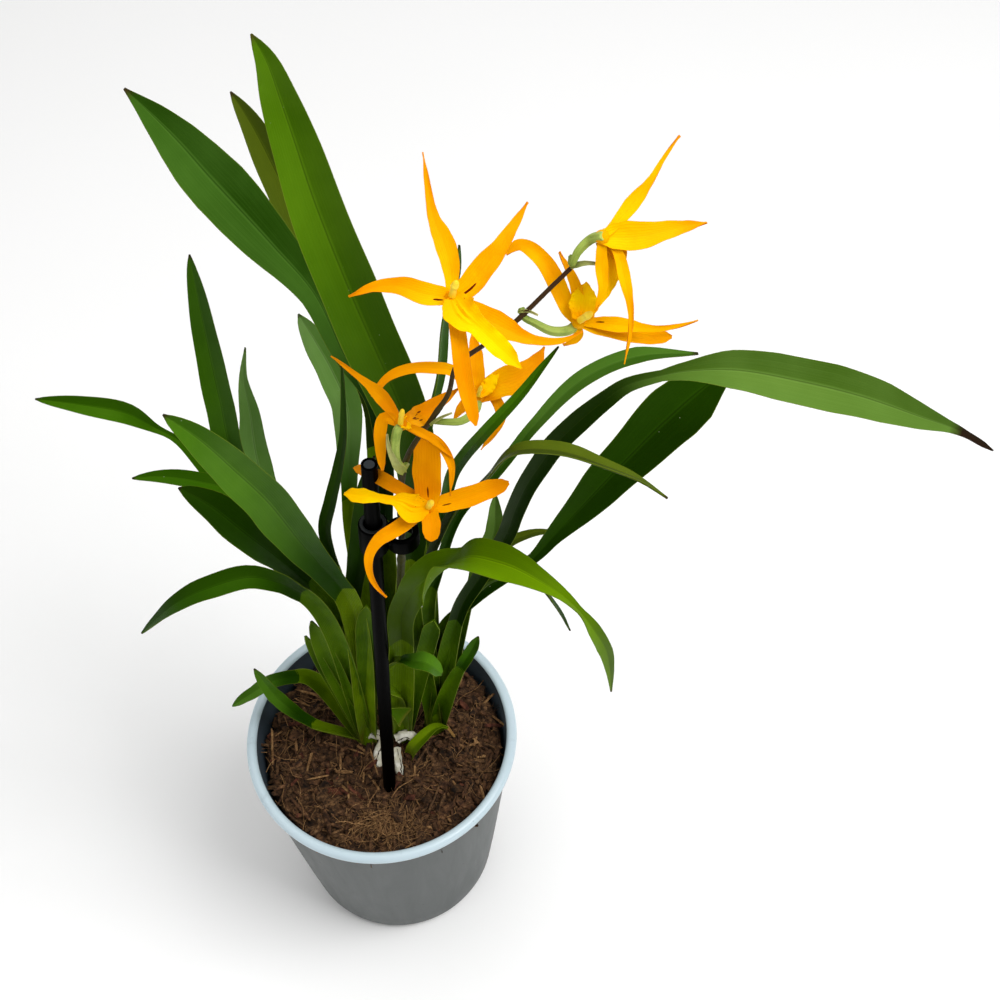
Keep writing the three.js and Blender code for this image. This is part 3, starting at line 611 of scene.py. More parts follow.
# A rough lump of bark, made from a block with its corners pushed about.
def lumpModel(name, size, seed):
    bpy.ops.mesh.primitive_cube_add(size=2)
    lump = bpy.context.object
    lump.name = lump.data.name = name
    bpy.ops.object.mode_set(mode="EDIT")
    bpy.ops.mesh.select_all(action="SELECT")
    bpy.ops.mesh.subdivide(number_cuts=1, smoothness=0.4)
    bpy.ops.object.mode_set(mode="OBJECT")
    for vertex in lump.data.vertices:
        shift = noise.noise_vector(vertex.co * 1.3 + Vector((seed * 7.1, seed * 3.3, 0))) * 0.45
        vertex.co = Vector((c * reach for c, reach in zip(vertex.co + shift, size))) * mm
    return lump


# A thin bent strand of coir.
def strandModel(name, length, bend, radius):
    points = [(-length / 2, 0, 0), (-length / 5, bend, bend * 0.2), (length / 6, -bend * 0.6, bend * 0.3),
              (length / 2, bend * 0.5, 0)]
    return sweepTube(name, pathThrough(points), lambda t, angle: radius * (1 - 0.6 * t), sides=3, rows=7)


# What lies on the bed, in the order it is strewn. Lumps have three sizes each and a first seed, strands a
# length, a bend and a radius. Each kind has its count, its finishes, how high above the bed and how tipped
# it may lie, and how its size varies. The tuft lies round a middle place instead of all over.
loose = {
    "bark_chips": {
        "lumps": [(3.4, 1.2, 0.7), (2.6, 1.6, 0.9), (4.6, 0.8, 0.6), (2.2, 1.0, 0.7), (3.0, 2.0, 0.8),
                  (5.4, 0.7, 0.5)],
        "finishes": [chipFinish, crumbFinish, bedFinish] * 4 + [redChipFinish],
        "firstSeed": 0, "count": 520, "lift": (-0.2, 1.2), "tilt": 0.7, "sizes": (0.5, 1.25)},
    "bark_shreds": {
        "lumps": [(5, 0.5, 0.35), (7, 0.45, 0.3), (3.4, 0.6, 0.4), (4.2, 0.35, 0.3)],
        "finishes": [fibreFinish, crumbFinish, chipFinish],
        "firstSeed": 20, "count": 260, "lift": (0.4, 1.8), "tilt": 0.5, "sizes": (0.5, 1.15)},
    "bark_crumbs": {
        "lumps": [(1.2, 0.9, 0.6), (0.9, 0.8, 0.6), (1.6, 0.7, 0.5)],
        "finishes": [crumbFinish, chipFinish],
        "firstSeed": 9, "count": 520, "lift": (0, 0.7), "tilt": 0.8, "sizes": (0.6, 1.3)},
    "coir_fibres": {
        "strands": [(9, 1.0, 0.17), (13, 1.6, 0.19), (6, 0.8, 0.16), (20, 1.2, 0.24), (11, -2.6, 0.16),
                    (16, 0.4, 0.2)],
        "finishes": [fibreFinish, crumbFinish, fibreFinish, darkFibreFinish],
        "count": 620, "lift": (0.5, 2.4), "tilt": 0.3, "sizes": (0.5, 1.2)},
    "coir_tuft": {
        "strands": [(14, 0.8, 0.17), (19, 1.4, 0.2), (11, -1.2, 0.15)], "finishes": [fibreFinish],
        "count": 170, "lift": (1.0, 3.4), "tilt": 0.3, "sizes": (0.6, 1.2),
        "middle": (1, -42), "spread": (9, 4.5)},
}


# Copies of the models lie on the bed, each turned and sized its own way; then they are one piece.
def scatter(name, kind, dice):
    models = [lumpModel("lump", size, kind["firstSeed"] + number)
              for number, size in enumerate(kind.get("lumps", ()))]
    models += [strandModel("strand", *shape) for shape in kind.get("strands", ())]
    tilt = kind["tilt"]
    pieces = []
    for number in range(kind["count"]):
        model = models[number % len(models)]
        copy = model.copy()
        copy.data = model.data.copy()
        bpy.context.collection.objects.link(copy)
        if "middle" in kind:
            x, y = [dice.gauss(middle, spread) for middle, spread in zip(kind["middle"], kind["spread"])]
        else:
            reach = mix["radius"] * mix["strewn"] * math.sqrt(dice.random())
            angle = dice.uniform(0, 2 * math.pi)
            x, y = reach * math.cos(angle), reach * math.sin(angle)
        turn = (Matrix.Rotation(dice.uniform(0, 2 * math.pi), 4, "Z")
                @ Matrix.Rotation(dice.uniform(-tilt, tilt), 4, "Y")
                @ Matrix.Rotation(dice.uniform(-tilt, tilt), 4, "X"))
        place = Matrix.Translation(Vector((x, y, bedHeight(x, y) + dice.uniform(*kind["lift"]))) * mm)
        copy.data.transform(place @ turn @ Matrix.Scale(dice.uniform(*kind["sizes"]), 4))
        copy.data.materials.append(dice.choice(kind["finishes"]))
        pieces.append(copy)
    for model in models:
        bpy.data.objects.remove(model)
    joined = joinPieces(pieces, name)
    shadeSmooth(joined, 60)
    finishPiece(joined)


def buildMix():
    dice = random.Random(mix["seed"])
    noise.seed_set(mix["seed"])
    buildBed()
    for name, kind in loose.items():
        scatter(name, kind, dice)


buildMix()
print("potting mix built")


# The foot of each growth, from which the sheaths of its leaves rise.
growths = {"left": (-7, 5), "centre": (9, 6), "right": (25, 10)}
facing = {"front": (0, -0.6, 0.8), "sky": (0, -0.15, 1), "back": (0, 0.45, 0.9), "under": (0.1, 0.6, -0.8),
          "aside": (1, -0.45, 0.2)}
# A leaf faces front and has the deep palette unless its row says otherwise.
leaves = [
    {"name": "leaf_left_broad", "growth": "left", "palette": "fresh", "width": 17, "base": 0.55,
     "forward": 8,
     "midrib": [(-5, 0, 261), (-16.8, -3, 301), (-24.8, -6, 333), (-33, -9, 357), (-41, -12, 379),
                (-50, -13, 394)]},
    {"name": "leaf_left_twisted", "growth": "left", "width": 12, "base": 0.32, "neck": 0.64,
     "midrib": [(-14, 16, 236), (-28, 30, 252), (-47, 42, 270), (-62, 48, 292), (-71, 51, 301),
                (-78.3, 53, 305.3), (-88.2, 53, 315.6), (-103.9, 52, 322.8), (-120.9, 52, 327.5)]},
    {"name": "leaf_left_upright", "growth": "left", "palette": "deep", "width": 12,
     "midrib": [(-18, 26, 240), (-34, 42, 251), (-49.5, 53, 280), (-50.5, 58, 316), (-50.2, 62, 353),
                (-49, 64, 391)]},
    {"name": "leaf_left_short", "growth": "left", "palette": "pale", "width": 13,
     "outline": [(0, 0.7), (0.3, 1), (0.55, 0.92), (0.72, 0.62), (0.86, 0.25), (1, 0.03)],
     "midrib": [(-26, 36, 226), (-39.4, 55, 236), (-44, 67, 263), (-43, 71, 292), (-42.8, 73, 310),
                (-39.5, 74, 328)]},
    {"name": "leaf_left_low", "growth": "left", "width": 9.5, "faces": ("sky", "sky"),
     "midrib": [(-15, 12, 250), (-28, 18, 280), (-42, 22, 300), (-57, 24, 306), (-73, 26, 308),
                (-84, 26, 308)]},
    {"name": "leaf_left_dark", "growth": "left", "palette": "dark", "width": 16.5, "faces": ("sky", "sky"),
     "midrib": [(-19, 4, 260), (-28, 3, 280), (-38, 2, 300), (-49.8, 5.9, 314.6), (-60.8, 8.9, 323.6)]},
    {"name": "leaf_left_arching", "growth": "left", "palette": "shade", "width": 12, "taper": 1.6,
     "faces": ("front", "sky"),
     "midrib": [(-20, -8, 272), (-27, -11, 285), (-37, -13, 293), (-52, -17, 293), (-66, -19, 286),
                (-85, -19, 264)]},
    {"name": "leaf_pot_edge", "growth": "left", "palette": "fresh", "width": 6.4, "base": 0.95,
     "faces": ("front", "sky"), "midrib": [(-35, 11, 171), (-47, 11, 167), (-60, 10, 156), (-70, 9, 147)]},
    {"name": "leaf_soil_level", "growth": "left", "palette": "fresh", "width": 7, "base": 0.7, "foot": 3.6,
     "faces": ("sky", "front"), "midrib": [(-32, 1, 141.5), (-38, 2, 149), (-46, 2, 169), (-52, 3, 192)]},
    {"name": "leaf_left_edge_on", "growth": "left", "palette": "shade", "width": 5.4,
     "outline": [(0, 0.8), (0.25, 1), (0.5, 0.75), (0.75, 0.45), (1, 0.1)],
     "midrib": [(-10, 18, 251.5), (-11.3, 20, 260.8), (-11.3, 22, 275.6), (-7.2, 24, 290.9),
                (-2.3, 25, 310.2), (1.3, 25, 327.3), (4.1, 25, 349.7), (5.8, 25, 372.9)]},
    {"name": "leaf_behind_stake", "growth": "left", "palette": "dark", "width": 9, "base": 0.8,
     "midrib": [(-3, 9, 240), (3.6, 14, 276), (8.6, 18, 305), (13.3, 19, 325)]},
    {"name": "leaf_tall", "growth": "centre", "palette": "tall", "width": 20.5, "taper": 6,
     "midrib": [(23, 16, 257), (28.5, 18, 297), (28.5, 21, 332), (22.7, 24, 361), (12.8, 29, 402),
                (4, 35, 443), (0.6, 38, 464), (-2, 40, 480), (-4, 40, 494), (-7, 40, 504)]},
    {"name": "leaf_upper_left", "growth": "centre", "palette": "cool", "width": 21,
     "outline": [(0, 0.33), (0.3, 0.31), (0.42, 0.36), (0.55, 0.52), (0.62, 0.69), (0.68, 0.86),
                 (0.74, 0.97), (0.79, 0.99), (0.84, 0.9), (0.89, 0.71), (0.94, 0.44), (1, 0.03)],
     "midrib": [(13, 26, 273), (16, 30, 309), (14, 36, 340), (5.5, 40, 359), (-3.5, 48.5, 385),
                (-16.5, 56, 402.5), (-26.5, 61.5, 415), (-36, 66.5, 427), (-43.5, 70, 438),
                (-51, 72.5, 448.5), (-58.5, 74, 459)]},
    {"name": "leaf_upper_rear", "growth": "centre", "palette": "olive", "width": 16,
     "midrib": [(10, 58, 281), (10.3, 65.7, 299), (2, 75.7, 335), (-8.6, 84, 380), (-17, 88, 411),
                (-22, 90, 428), (-27, 90, 443)]},
    {"name": "leaf_rear_pale", "growth": "centre", "palette": "pale", "width": 12, "taper": 7,
     "midrib": [(-3, 44, 263), (-0.8, 50, 290), (0.7, 54, 313), (-2.9, 56, 332), (-7.1, 56, 349),
                (-11.7, 55, 367)]},
    {"name": "leaf_behind_bloom", "growth": "right", "width": 7, "faces": ("aside", "aside"),
     "midrib": [(30, 30, 276), (33, 40, 313), (39, 50, 335), (43, 56, 363), (48, 59, 380), (50, 60, 395)]},
    {"name": "leaf_front_arching", "growth": "centre", "palette": "arch", "width": 17,
     "faces": [(0, 0, -1, 0), (0.115, -0.16, -0.98, 0), (0.23, -0.48, -0.88, 0),
               (0.33, -0.9, -0.03, 0.44), (0.41, -0.5, 0.67, 0.55), (0.48, -0.56, 0.19, 0.81),
               (0.56, -0.2, -0.35, 0.92), (0.65, 0.5, 0, 0.86), (0.7, 0.7, 0.1, 0.7),
               (0.76, 0.5, -0.75, 0.4), (0.83, 0, -1, 0), (1, 0, -1, 0)],
     "outline": [(0, 0.6), (0.12, 0.64), (0.23, 0.68), (0.33, 0.9), (0.41, 0.9), (0.48, 0.88),
                 (0.54, 0.82), (0.6, 0.56), (0.66, 0.33), (0.71, 0.19), (0.76, 0.31), (0.83, 0.34),
                 (0.91, 0.2), (1, 0.03)],
     "midrib": [(16.9, -6, 228.8), (18.9, -8, 252.5), (25, -11.5, 275.2), (33.6, -16, 293.8),
                (41.7, -20, 308.2), (49.9, -24, 318.3), (57.1, -27.5, 320.7), (65, -31.5, 321.6),
                (73.6, -36, 319.6), (82.2, -40.5, 315.9), (88.9, -44, 309.2), (93.6, -45.5, 299.6),
                (99, -46, 284.4), (101.2, -46, 268.7), (102.5, -46, 250.3)]},
    {"name": "leaf_curled", "growth": "centre", "palette": "fresh", "width": 8.4, "faces": ("sky", "sky"),
     "outline": [(0, 0.35), (0.3, 0.7), (0.55, 1), (0.85, 0.8), (1, 0.2)],
     "midrib": [(16, -12, 222), (22, -17, 230), (28, -20, 233), (34, -21, 225)]},
    {"name": "leaf_right_slender", "growth": "right", "width": 4.6, "base": 0.7, "taper": 8,
     "midrib": [(32, 25, 257), (39, 12, 301), (45, -1, 342), (57, -17, 384), (69, -13, 398),
                (76, -8, 405), (82, -4, 411)]},
    {"name": "leaf_right_high", "growth": "right", "palette": "rear", "width": 10,
     "faces": ("front", "sky"),
     "outline": [(0, 0.42), (0.27, 0.4), (0.43, 0.44), (0.58, 0.52), (0.73, 0.7), (0.86, 0.72), (1, 0.08)],
     "midrib": [(31, 14, 238), (44, 22, 280), (61, 30, 299), (75.1, 37.5, 316.6), (95.3, 45.5, 335.5),
                (115.7, 49.5, 342.7), (139.8, 51.5, 341)]},
    {"name": "leaf_right_long", "growth": "right", "palette": "long", "width": 18,
     "outline": [(0, 0.36), (0.11, 0.38), (0.22, 0.4), (0.33, 0.42), (0.41, 0.46), (0.47, 0.44),
                 (0.51, 0.36), (0.55, 0.27), (0.58, 0.21), (0.61, 0.38), (0.65, 0.72), (0.7, 0.88),
                 (0.77, 0.93), (0.83, 0.78), (0.88, 0.5), (0.92, 0.24), (0.95, 0.14), (0.98, 0.12),
                 (1, 0.02)],
     "midrib": [(40, 8, 220), (43.5, 8, 234), (52, 8, 256), (63, 7.5, 286), (66.5, 6.5, 303),
                (71, 5.5, 320.5), (77, 5, 336), (81, 5, 345), (90.5, 5, 360), (100, 5.5, 371.5),
                (107, 6, 378), (118, 6.5, 381.5), (127, 7, 383), (144, 6, 384), (167, 4, 379),
                (189, 2, 372), (211, 0, 362), (227, 0, 353), (243, 0, 340)]},
    {"name": "leaf_right_dark", "growth": "right", "palette": "dark", "width": 25,
     "outline": [(0, 0.2), (0.29, 0.19), (0.37, 0.29), (0.45, 0.46), (0.56, 0.68), (0.66, 0.78),
                 (0.75, 0.9), (0.82, 0.97), (0.88, 0.86), (0.95, 0.42), (1, 0.08)],
     "midrib": [(38, 17, 208), (52, 19.5, 224), (74.5, 25, 241.5), (83, 28.5, 252), (92, 32.5, 262),
                (103.5, 36.5, 277), (114.5, 41.5, 289), (124.5, 46, 299.5), (133.5, 49.5, 308.5),
                (141, 52.5, 315), (150, 56, 321), (158, 58, 325)]},
    {"name": "leaf_right_thin", "growth": "right", "palette": "olive", "width": 10,
     "faces": ("front", "back"),
     "outline": [(0, 0.36), (0.4, 0.32), (0.56, 0.34), (0.7, 0.6), (0.8, 0.72), (0.9, 0.52), (1, 0.04)],
     "midrib": [(27, 0, 266), (41.3, -6, 317), (56.1, -14.7, 353.9), (67, -18, 374), (82, -21, 377),
                (97, -24, 372), (109, -27, 367), (119, -30, 360)]},
    {"name": "leaf_right_hidden", "growth": "right", "palette": "dark", "width": 5.5, "taper": 1.6,
     "faces": ("under", "sky"),
     "midrib": [(39, 10, 206), (45, 13, 226), (56, 12, 246), (71, 10, 250), (83, 8, 231), (90, 6, 211)]},
    {"name": "leaf_right_stub", "growth": "right", "palette": "grey", "width": 8,
     "midrib": [(46.2, 26, 214), (51, 32, 230), (57.3, 36.9, 242), (59.2, 42, 265)]},
    {"name": "leaf_right_olive", "growth": "right", "palette": "olive", "width": 5, "faces": ("sky", "sky"),
     "midrib": [(44.6, 26, 212), (54, 34, 222), (63, 42, 227), (74, 46, 229), (85, 46, 231)]},
    {"name": "leaf_right_base", "growth": "right", "width": 5.5, "base": 0.9,
     "midrib": [(40, 5, 183), (45, 8, 192), (49, 9, 203)]},
]

leafShape = {"thickness": 0.75, "keel": 0.7, "tipWidth": 0.3, "ripple": 0.35}
sheathShape = {"footWidth": 6.7, "footRadius": 5.6, "swell": 2.2, "thickness": 1.1, "shortThickness": 0.9,
               "footDepth": 10, "jointOverlap": 0.6}
greenSheathed = ("deep", "shade", "dark", "long", "olive", "rear", "grey")


# How wide a leaf is along its length: narrow at the joint, widest past the middle, pointed at the tip.
def leafProfile(leaf, t):
    if "outline" in leaf:
        return valueAt(leaf["outline"], t)
    spread = lerp(leaf.get("base", 0.5), 1, smoothstep(0, 0.5, t))
    point = (1 - min(t, 1) ** leaf.get("taper", 5)) ** 0.7
    pinch = 1 - 0.75 * bump(t, leaf["neck"], 0.1) if "neck" in leaf else 1
    return spread * point * pinch


# Which way a leaf faces along its length: two names, or rows of (t, x, y, z) where it twists.
def leafFacing(leaf):
    faces = leaf.get("faces", ("front", "front"))
    if isinstance(faces[0], str):
        return [(t, Vector(facing[name])) for t, name in enumerate(faces)]
    return [(t, Vector(face)) for t, *face in faces]


def buildLeaf(leaf, number):
    along = pathThrough(leaf["midrib"])
    faces = leafFacing(leaf)
    palette = leaf.get("palette", "deep")

    def halfWidth(t, s):
        wave = 1 + 0.02 * math.sin(31 * t + number) * (1 if s > 0 else -1)
        return max(0.5 * leaf["width"] * leafProfile(leaf, t) * wave, 0.5 * leafShape["tipWidth"])

    def rise(t, s):
        fold = lerp(0.7, 0.3, min(t * 2, 1)) * halfWidth(t, s) * abs(s) ** 1.4
        ripple = leafShape["ripple"] * s * s * math.sin(14 * t + 2.1 * number + (1.7 if s > 0 else 0))
        return fold + ripple * smoothstep(0, 0.2, t) * smoothstep(1, 0.8, t)

    columns, rows = 16 if leaf["width"] > 10 else 12, max(24, round(along.length / 3))
    blade = sweepSheet(leaf["name"] + "_blade", along, lambda t: valueAt(faces, t), halfWidth, rise,
                       leafShape["thickness"], columns, rows, (leafFaces[palette], leafBacks[palette]),
                       leafShape["keel"])
    finishPiece(blade, [leaf["name"]])


# A smooth path with four guides, from its foot to the joint of a leaf.
def bezierThrough(a, b, c, d):
    def along(t):
        u = 1 - t
        place = a * u ** 3 + b * 3 * u * u * t + c * 3 * u * t * t + d * t ** 3
        slope = (b - a) * u * u + (c - b) * 2 * u * t + (d - c) * t * t
        return place, slope.normalized()

    return along


# Where a growth's sheaths start, inside the bark.
def sheathFoot(growth, forward=0):
    x, y = growths[growth]
    return Vector((x, y - forward, mix["height"] - sheathShape["footDepth"] / 2))


def buildSheath(leaf):
    joint, direction = pathThrough(leaf["midrib"])(0)
    face = leafFacing(leaf)[0][1]
    footHalf = 0.5 * leaf.get("foot", sheathShape["footWidth"])
    finish = sheathGreen if leaf.get("palette", "deep") in greenSheathed else sheathPlain
    foot = sheathFoot(leaf["growth"])
    end = joint + direction * sheathShape["jointOverlap"]
    rise = foot.lerp(end, 0.3) + Vector((0, -leaf.get("forward", 0), 4))
    along = bezierThrough(foot, rise, end - direction * (end - foot).length / 5, end)
    jointHalf = 0.5 * leaf["width"] * leafProfile(leaf, 0)
    swell = 0 if "foot" in leaf else 0.5 * sheathShape["swell"]

    def halfWidth(t, s):
        return lerp(footHalf, jointHalf, t) + swell * math.sin(math.pi * t)

    def fold(t, s):
        return lerp(0.9, 0.7, t) * halfWidth(t, s) * abs(s) ** 1.4

    return sweepSheet("sheath", along, lambda t: face, halfWidth, fold, sheathShape["thickness"], 14, 44,
                      (finish, finish), 0.6, 0.2)


# Short sheaths that carry no leaf: the place of each top, the width, and the share over which it closes.
shortSheaths = [
    {"growth": "left", "top": (4, -3, 252), "width": 9, "close": 0.16},
    {"growth": "left", "top": (-20, -3, 241), "width": 9, "close": 0.34},
    {"growth": "left", "top": (-24, -3, 229), "width": 5, "close": 0.3},
    {"growth": "centre", "top": (31, -1, 235), "width": 7.6, "close": 0.05},
]


def buildShortSheath(sheath):
    foot, top = sheathFoot(sheath["growth"], 1), Vector(sheath["top"])
    guides = [foot.lerp(top, share) + Vector((0, -1.5, 3)) for share in (0.3, 0.7)]
    face = Vector(facing["front"])

    def halfWidth(t, s):
        closed = max(t - 1 + sheath["close"], 0) / sheath["close"]
        width = lerp(sheathShape["footWidth"], sheath["width"], smoothstep(0, 0.7, t))
        return max(0.5 * width * math.sqrt(max(1 - closed ** 2, 0)), 0.2)

    def fold(t, s):
        return 0.5 * halfWidth(t, s) * abs(s) ** 1.6

    return sweepSheet("sheath", bezierThrough(foot, *guides, top), lambda t: face, halfWidth, fold,
                      sheathShape["shortThickness"], 14, 36, (sheathGreen, sheathGreen), 0.4, 0.2)


def buildGrowth(name):
    x, y = growths[name]

    def bulbRadius(t, angle):
        return sheathShape["footRadius"] * (1 - 0.85 * t ** 1.6) * (1 + 0.05 * math.cos(7 * angle))

    bulb = sweepTube("bulb", pathThrough([(x, y, z) for z in (107, 120, 142, 156)]), bulbRadius, 28, 24)
    giveFinishes(bulb, sheathPlain)
    shadeSmooth(bulb)
    sheaths = [buildSheath(leaf) for leaf in leaves if leaf["growth"] == name]
    sheaths += [buildShortSheath(sheath) for sheath in shortSheaths if sheath["growth"] == name]
    whole = joinPieces([bulb, *sheaths], "sheaths_" + name)
    finishPiece(whole, ["growth_" + name])


for number, leaf in enumerate(leaves):
    buildLeaf(leaf, number)
for name in growths:
    buildGrowth(name)
print("leaves and sheaths built")


# A young shoot that arches over the bark to a dry tip, and a small dark bract beside the stake.
shoot = {
    "path": [(13, -6, 118), (15, -6, 126), (20, -3, 131), (26, 2, 131), (31, 3, 128), (34, 2, 122)],
    "bract": [(13.5, -5, 157), (10, -6, 163), (5.3, -7, 169)], "width": 6.5, "bractWidth": 11,
}


def buildShoot():
    def halfWidth(t, s):
        return 0.5 * shoot["width"] * max(math.sin(math.pi * min(t + 0.25, 1)) ** 0.6, 0.05)

    blade = sweepSheet("shoot", pathThrough(shoot["path"]), lambda t: Vector(facing["sky"]), halfWidth,
                       lambda t, s: 1.4 * s * s + 0.4 * math.sin(9 * t + 2 * s), 0.7, 14, 40,
                       (shootFinish, shootFinish))
    bract = sweepSheet("bract", pathThrough(shoot["bract"]), lambda t: Vector(facing["front"]),
                       lambda t, s: 0.5 * shoot["bractWidth"] * (1.02 - t), lambda t, s: 0.8 * s * s,
                       0.6, 12, 24, (sheathGreen, sheathGreen))
    finishPiece(joinPieces([blade, bract], "young_shoot"))


buildShoot()


# The roots on the bark: pale, ribbed and cracked.
roots = [
    {"radius": 2.9, "path": [(1.5, 1, 125), (-2.5, -7, 120), (-4, -14.5, 115)]},
    {"radius": 2.3, "path": [(6, -4, 122), (7, -10, 121), (8, -17, 115)]},
    {"radius": 2.5, "path": [(7, -1, 127), (12, 0, 129), (18.5, -2, 123)]},
    {"radius": 2.3, "path": [(0, 1, 126), (-5, 2, 127), (-11, 4, 121)]},
]


def buildRoot(root, number):
    def rootRadius(t, angle):
        knots = 1 + 0.07 * math.sin(19 * t + number) + 0.07 * math.cos(5 * angle + 4 * t)
        flakes = noise.noise(Vector((math.cos(angle) * 2.4, math.sin(angle) * 2.4, 7 * t + number)))
        return root["radius"] * (knots + 0.22 * flakes) * (1 - 0.15 * t)

    piece = sweepTube(f"root_{number}_skin", pathThrough(root["path"]), rootRadius, 24, 48)
    giveFinishes(piece, rootFinish)
    shadeSmooth(piece, 70)
    finishPiece(piece, [f"root_{number}"])


for number, root in enumerate(roots, 1):
    buildRoot(root, number)
print("roots built")


# The stake leans a little, and a clip holds the flower spike to it.
stake = {
    "foot": (3, -21), "top": (15.5, -12), "low": 30, "high": 361.5, "radius": 3,
    "capSteps": [(0.3, 0.2), (0.5, 0), (0.2, -0.3)],
}


def stakePoint(z):
    share = (z - mix["height"]) / (stake["high"] - mix["height"])
    return Vector((*[lerp(low, high, share) for low, high in zip(stake["foot"], stake["top"])], z))


def buildStake():
    path = pathThrough([stakePoint(z) for z in (stake["low"], 200, stake["high"])])
    rod = sweepTube("stake_rod", path, lambda t, angle: stake["radius"], 32, 40)
    giveFinishes(rod, blackPlastic, stakeEnd)
    bpy.ops.object.mode_set(mode="EDIT")
    bpy.ops.mesh.select_all(action="DESELECT")
    bpy.ops.object.mode_set(mode="OBJECT")
    for face in rod.data.polygons:
        face.select = face.normal.z > 0.9
    bpy.ops.object.mode_set(mode="EDIT")
    for inward, upward in stake["capSteps"]:
        bpy.ops.mesh.inset(thickness=inward * mm, depth=upward * mm)
    bpy.ops.object.mode_set(mode="OBJECT")
    for face in rod.data.polygons:
        if face.select:
            face.material_index = 1
    shadeSmooth(rod, 35)
    finishPiece(rod, ["stake"])


# A closed outline of (radius, height) turned about an axis.
def turnRing(name, centre, axis, outline, sides=56):
    axis = Vector(axis).normalized()
    across = axis.orthogonal().normalized()
    up = axis.cross(across)

    def place(s, t):
        radius, height = outline[round(t * len(outline)) % len(outline)]
        angle = math.pi * s
        return Vector(centre) + axis * height + (across * math.cos(angle) + up * math.sin(angle)) * radius

    ring = bendGrid(name, sides, len(outline), place)
    weldSeams(ring)
    return ring


# A rectangle with rounded corners, as an outline of (radius, height).
def roundedOutline(inner, outer, half, corner):
    outline = []
    corners = [(outer, half, 0), (inner, half, 90), (inner, -half, 180), (outer, -half, 270)]
    for radius, height, start in corners:
        middle = radius + (corner if radius == inner else -corner)
        level = height + (-corner if height > 0 else corner)
        for step in range(5):
            angle = math.radians(start + step * 22.5)
            outline.append((middle + corner * math.cos(angle), level + corner * math.sin(angle)))
    return outline


# Each ring has its inner and outer radius, half its height and the rounding of its corners.
clip = {
    "span": (312, 327), "collarAt": 319.5, "edgeAt": 326.6, "ringAt": (23.5, -9, 312),
    "collar": (3.2, 5.6, 7.5, 0.6), "edge": (3.6, 5.0, 0.7, 0.25), "ring": (4.3, 6.5, 4, 0.7),
    "arm": [(14.6, -13.6, 318), (18, -12.4, 315), (19, -11.3, 313)], "armRadius": 2.5,
}


def buildClip():
    low, high = [stakePoint(z) for z in clip["span"]]
    collar = turnRing("collar", stakePoint(clip["collarAt"]), high - low, roundedOutline(*clip["collar"]))
    edge = turnRing("edge", stakePoint(clip["edgeAt"]), high - low, roundedOutline(*clip["edge"]))
    ring = turnRing("ring", clip["ringAt"], (0, 0, 1), roundedOutline(*clip["ring"]))
    arm = sweepTube("arm", pathThrough(clip["arm"]), lambda t, angle: clip["armRadius"], 20, 12)
    for piece in (collar, ring, arm):
        giveFinishes(piece, blackPlastic)
    # The edge ring carries the painted highlight along the clip's edge.
    giveFinishes(edge, clipEdgeHighlight)
    whole = joinPieces([collar, ring, arm, edge], "clip_body")
    shadeSmooth(whole, 40)
    finishPiece(whole, ["stem_clip"])


buildStake()
buildClip()
print("stake and clip built")


# The flower spike rises through the clip and leans to the right.
spike = {
    "radius": 2.0, "tipRadius": 0.75, "nodes": (0.3, 0.5, 0.62, 0.72, 0.8, 0.87, 0.94),
    "path": [(11, 18, 108), (12, 14, 160), (16, 8, 215), (19, 2, 262), (23, -8, 308), (26, -14, 350),
             (30.3, -15.5, 371.7), (39, -14, 388), (45, -12, 398), (48.7, -10.7, 411.5), (57.7, -9.8, 419.7),
             (67.5, -8.5, 428.2), (79.4, -4.1, 439.2), (85.6, -1.7, 444.8)],
}


def buildSpike():
    def spikeRadius(t, angle):
        swell = sum(0.18 * bump(t, node, 0.006) + 0.06 * bump(t, node, 0.02) for node in spike["nodes"])
        return lerp(spike["radius"], spike["tipRadius"], smoothstep(0.15, 0.95, t)) * (1 + swell)

    stem = sweepTube("flower_spike_stem", pathThrough(spike["path"]), spikeRadius, 24, 220)
    giveFinishes(stem, spikeFinish)
    shadeSmooth(stem, 60)
    finishPiece(stem, ["flower_spike"])


buildSpike()
print("flower spike built")


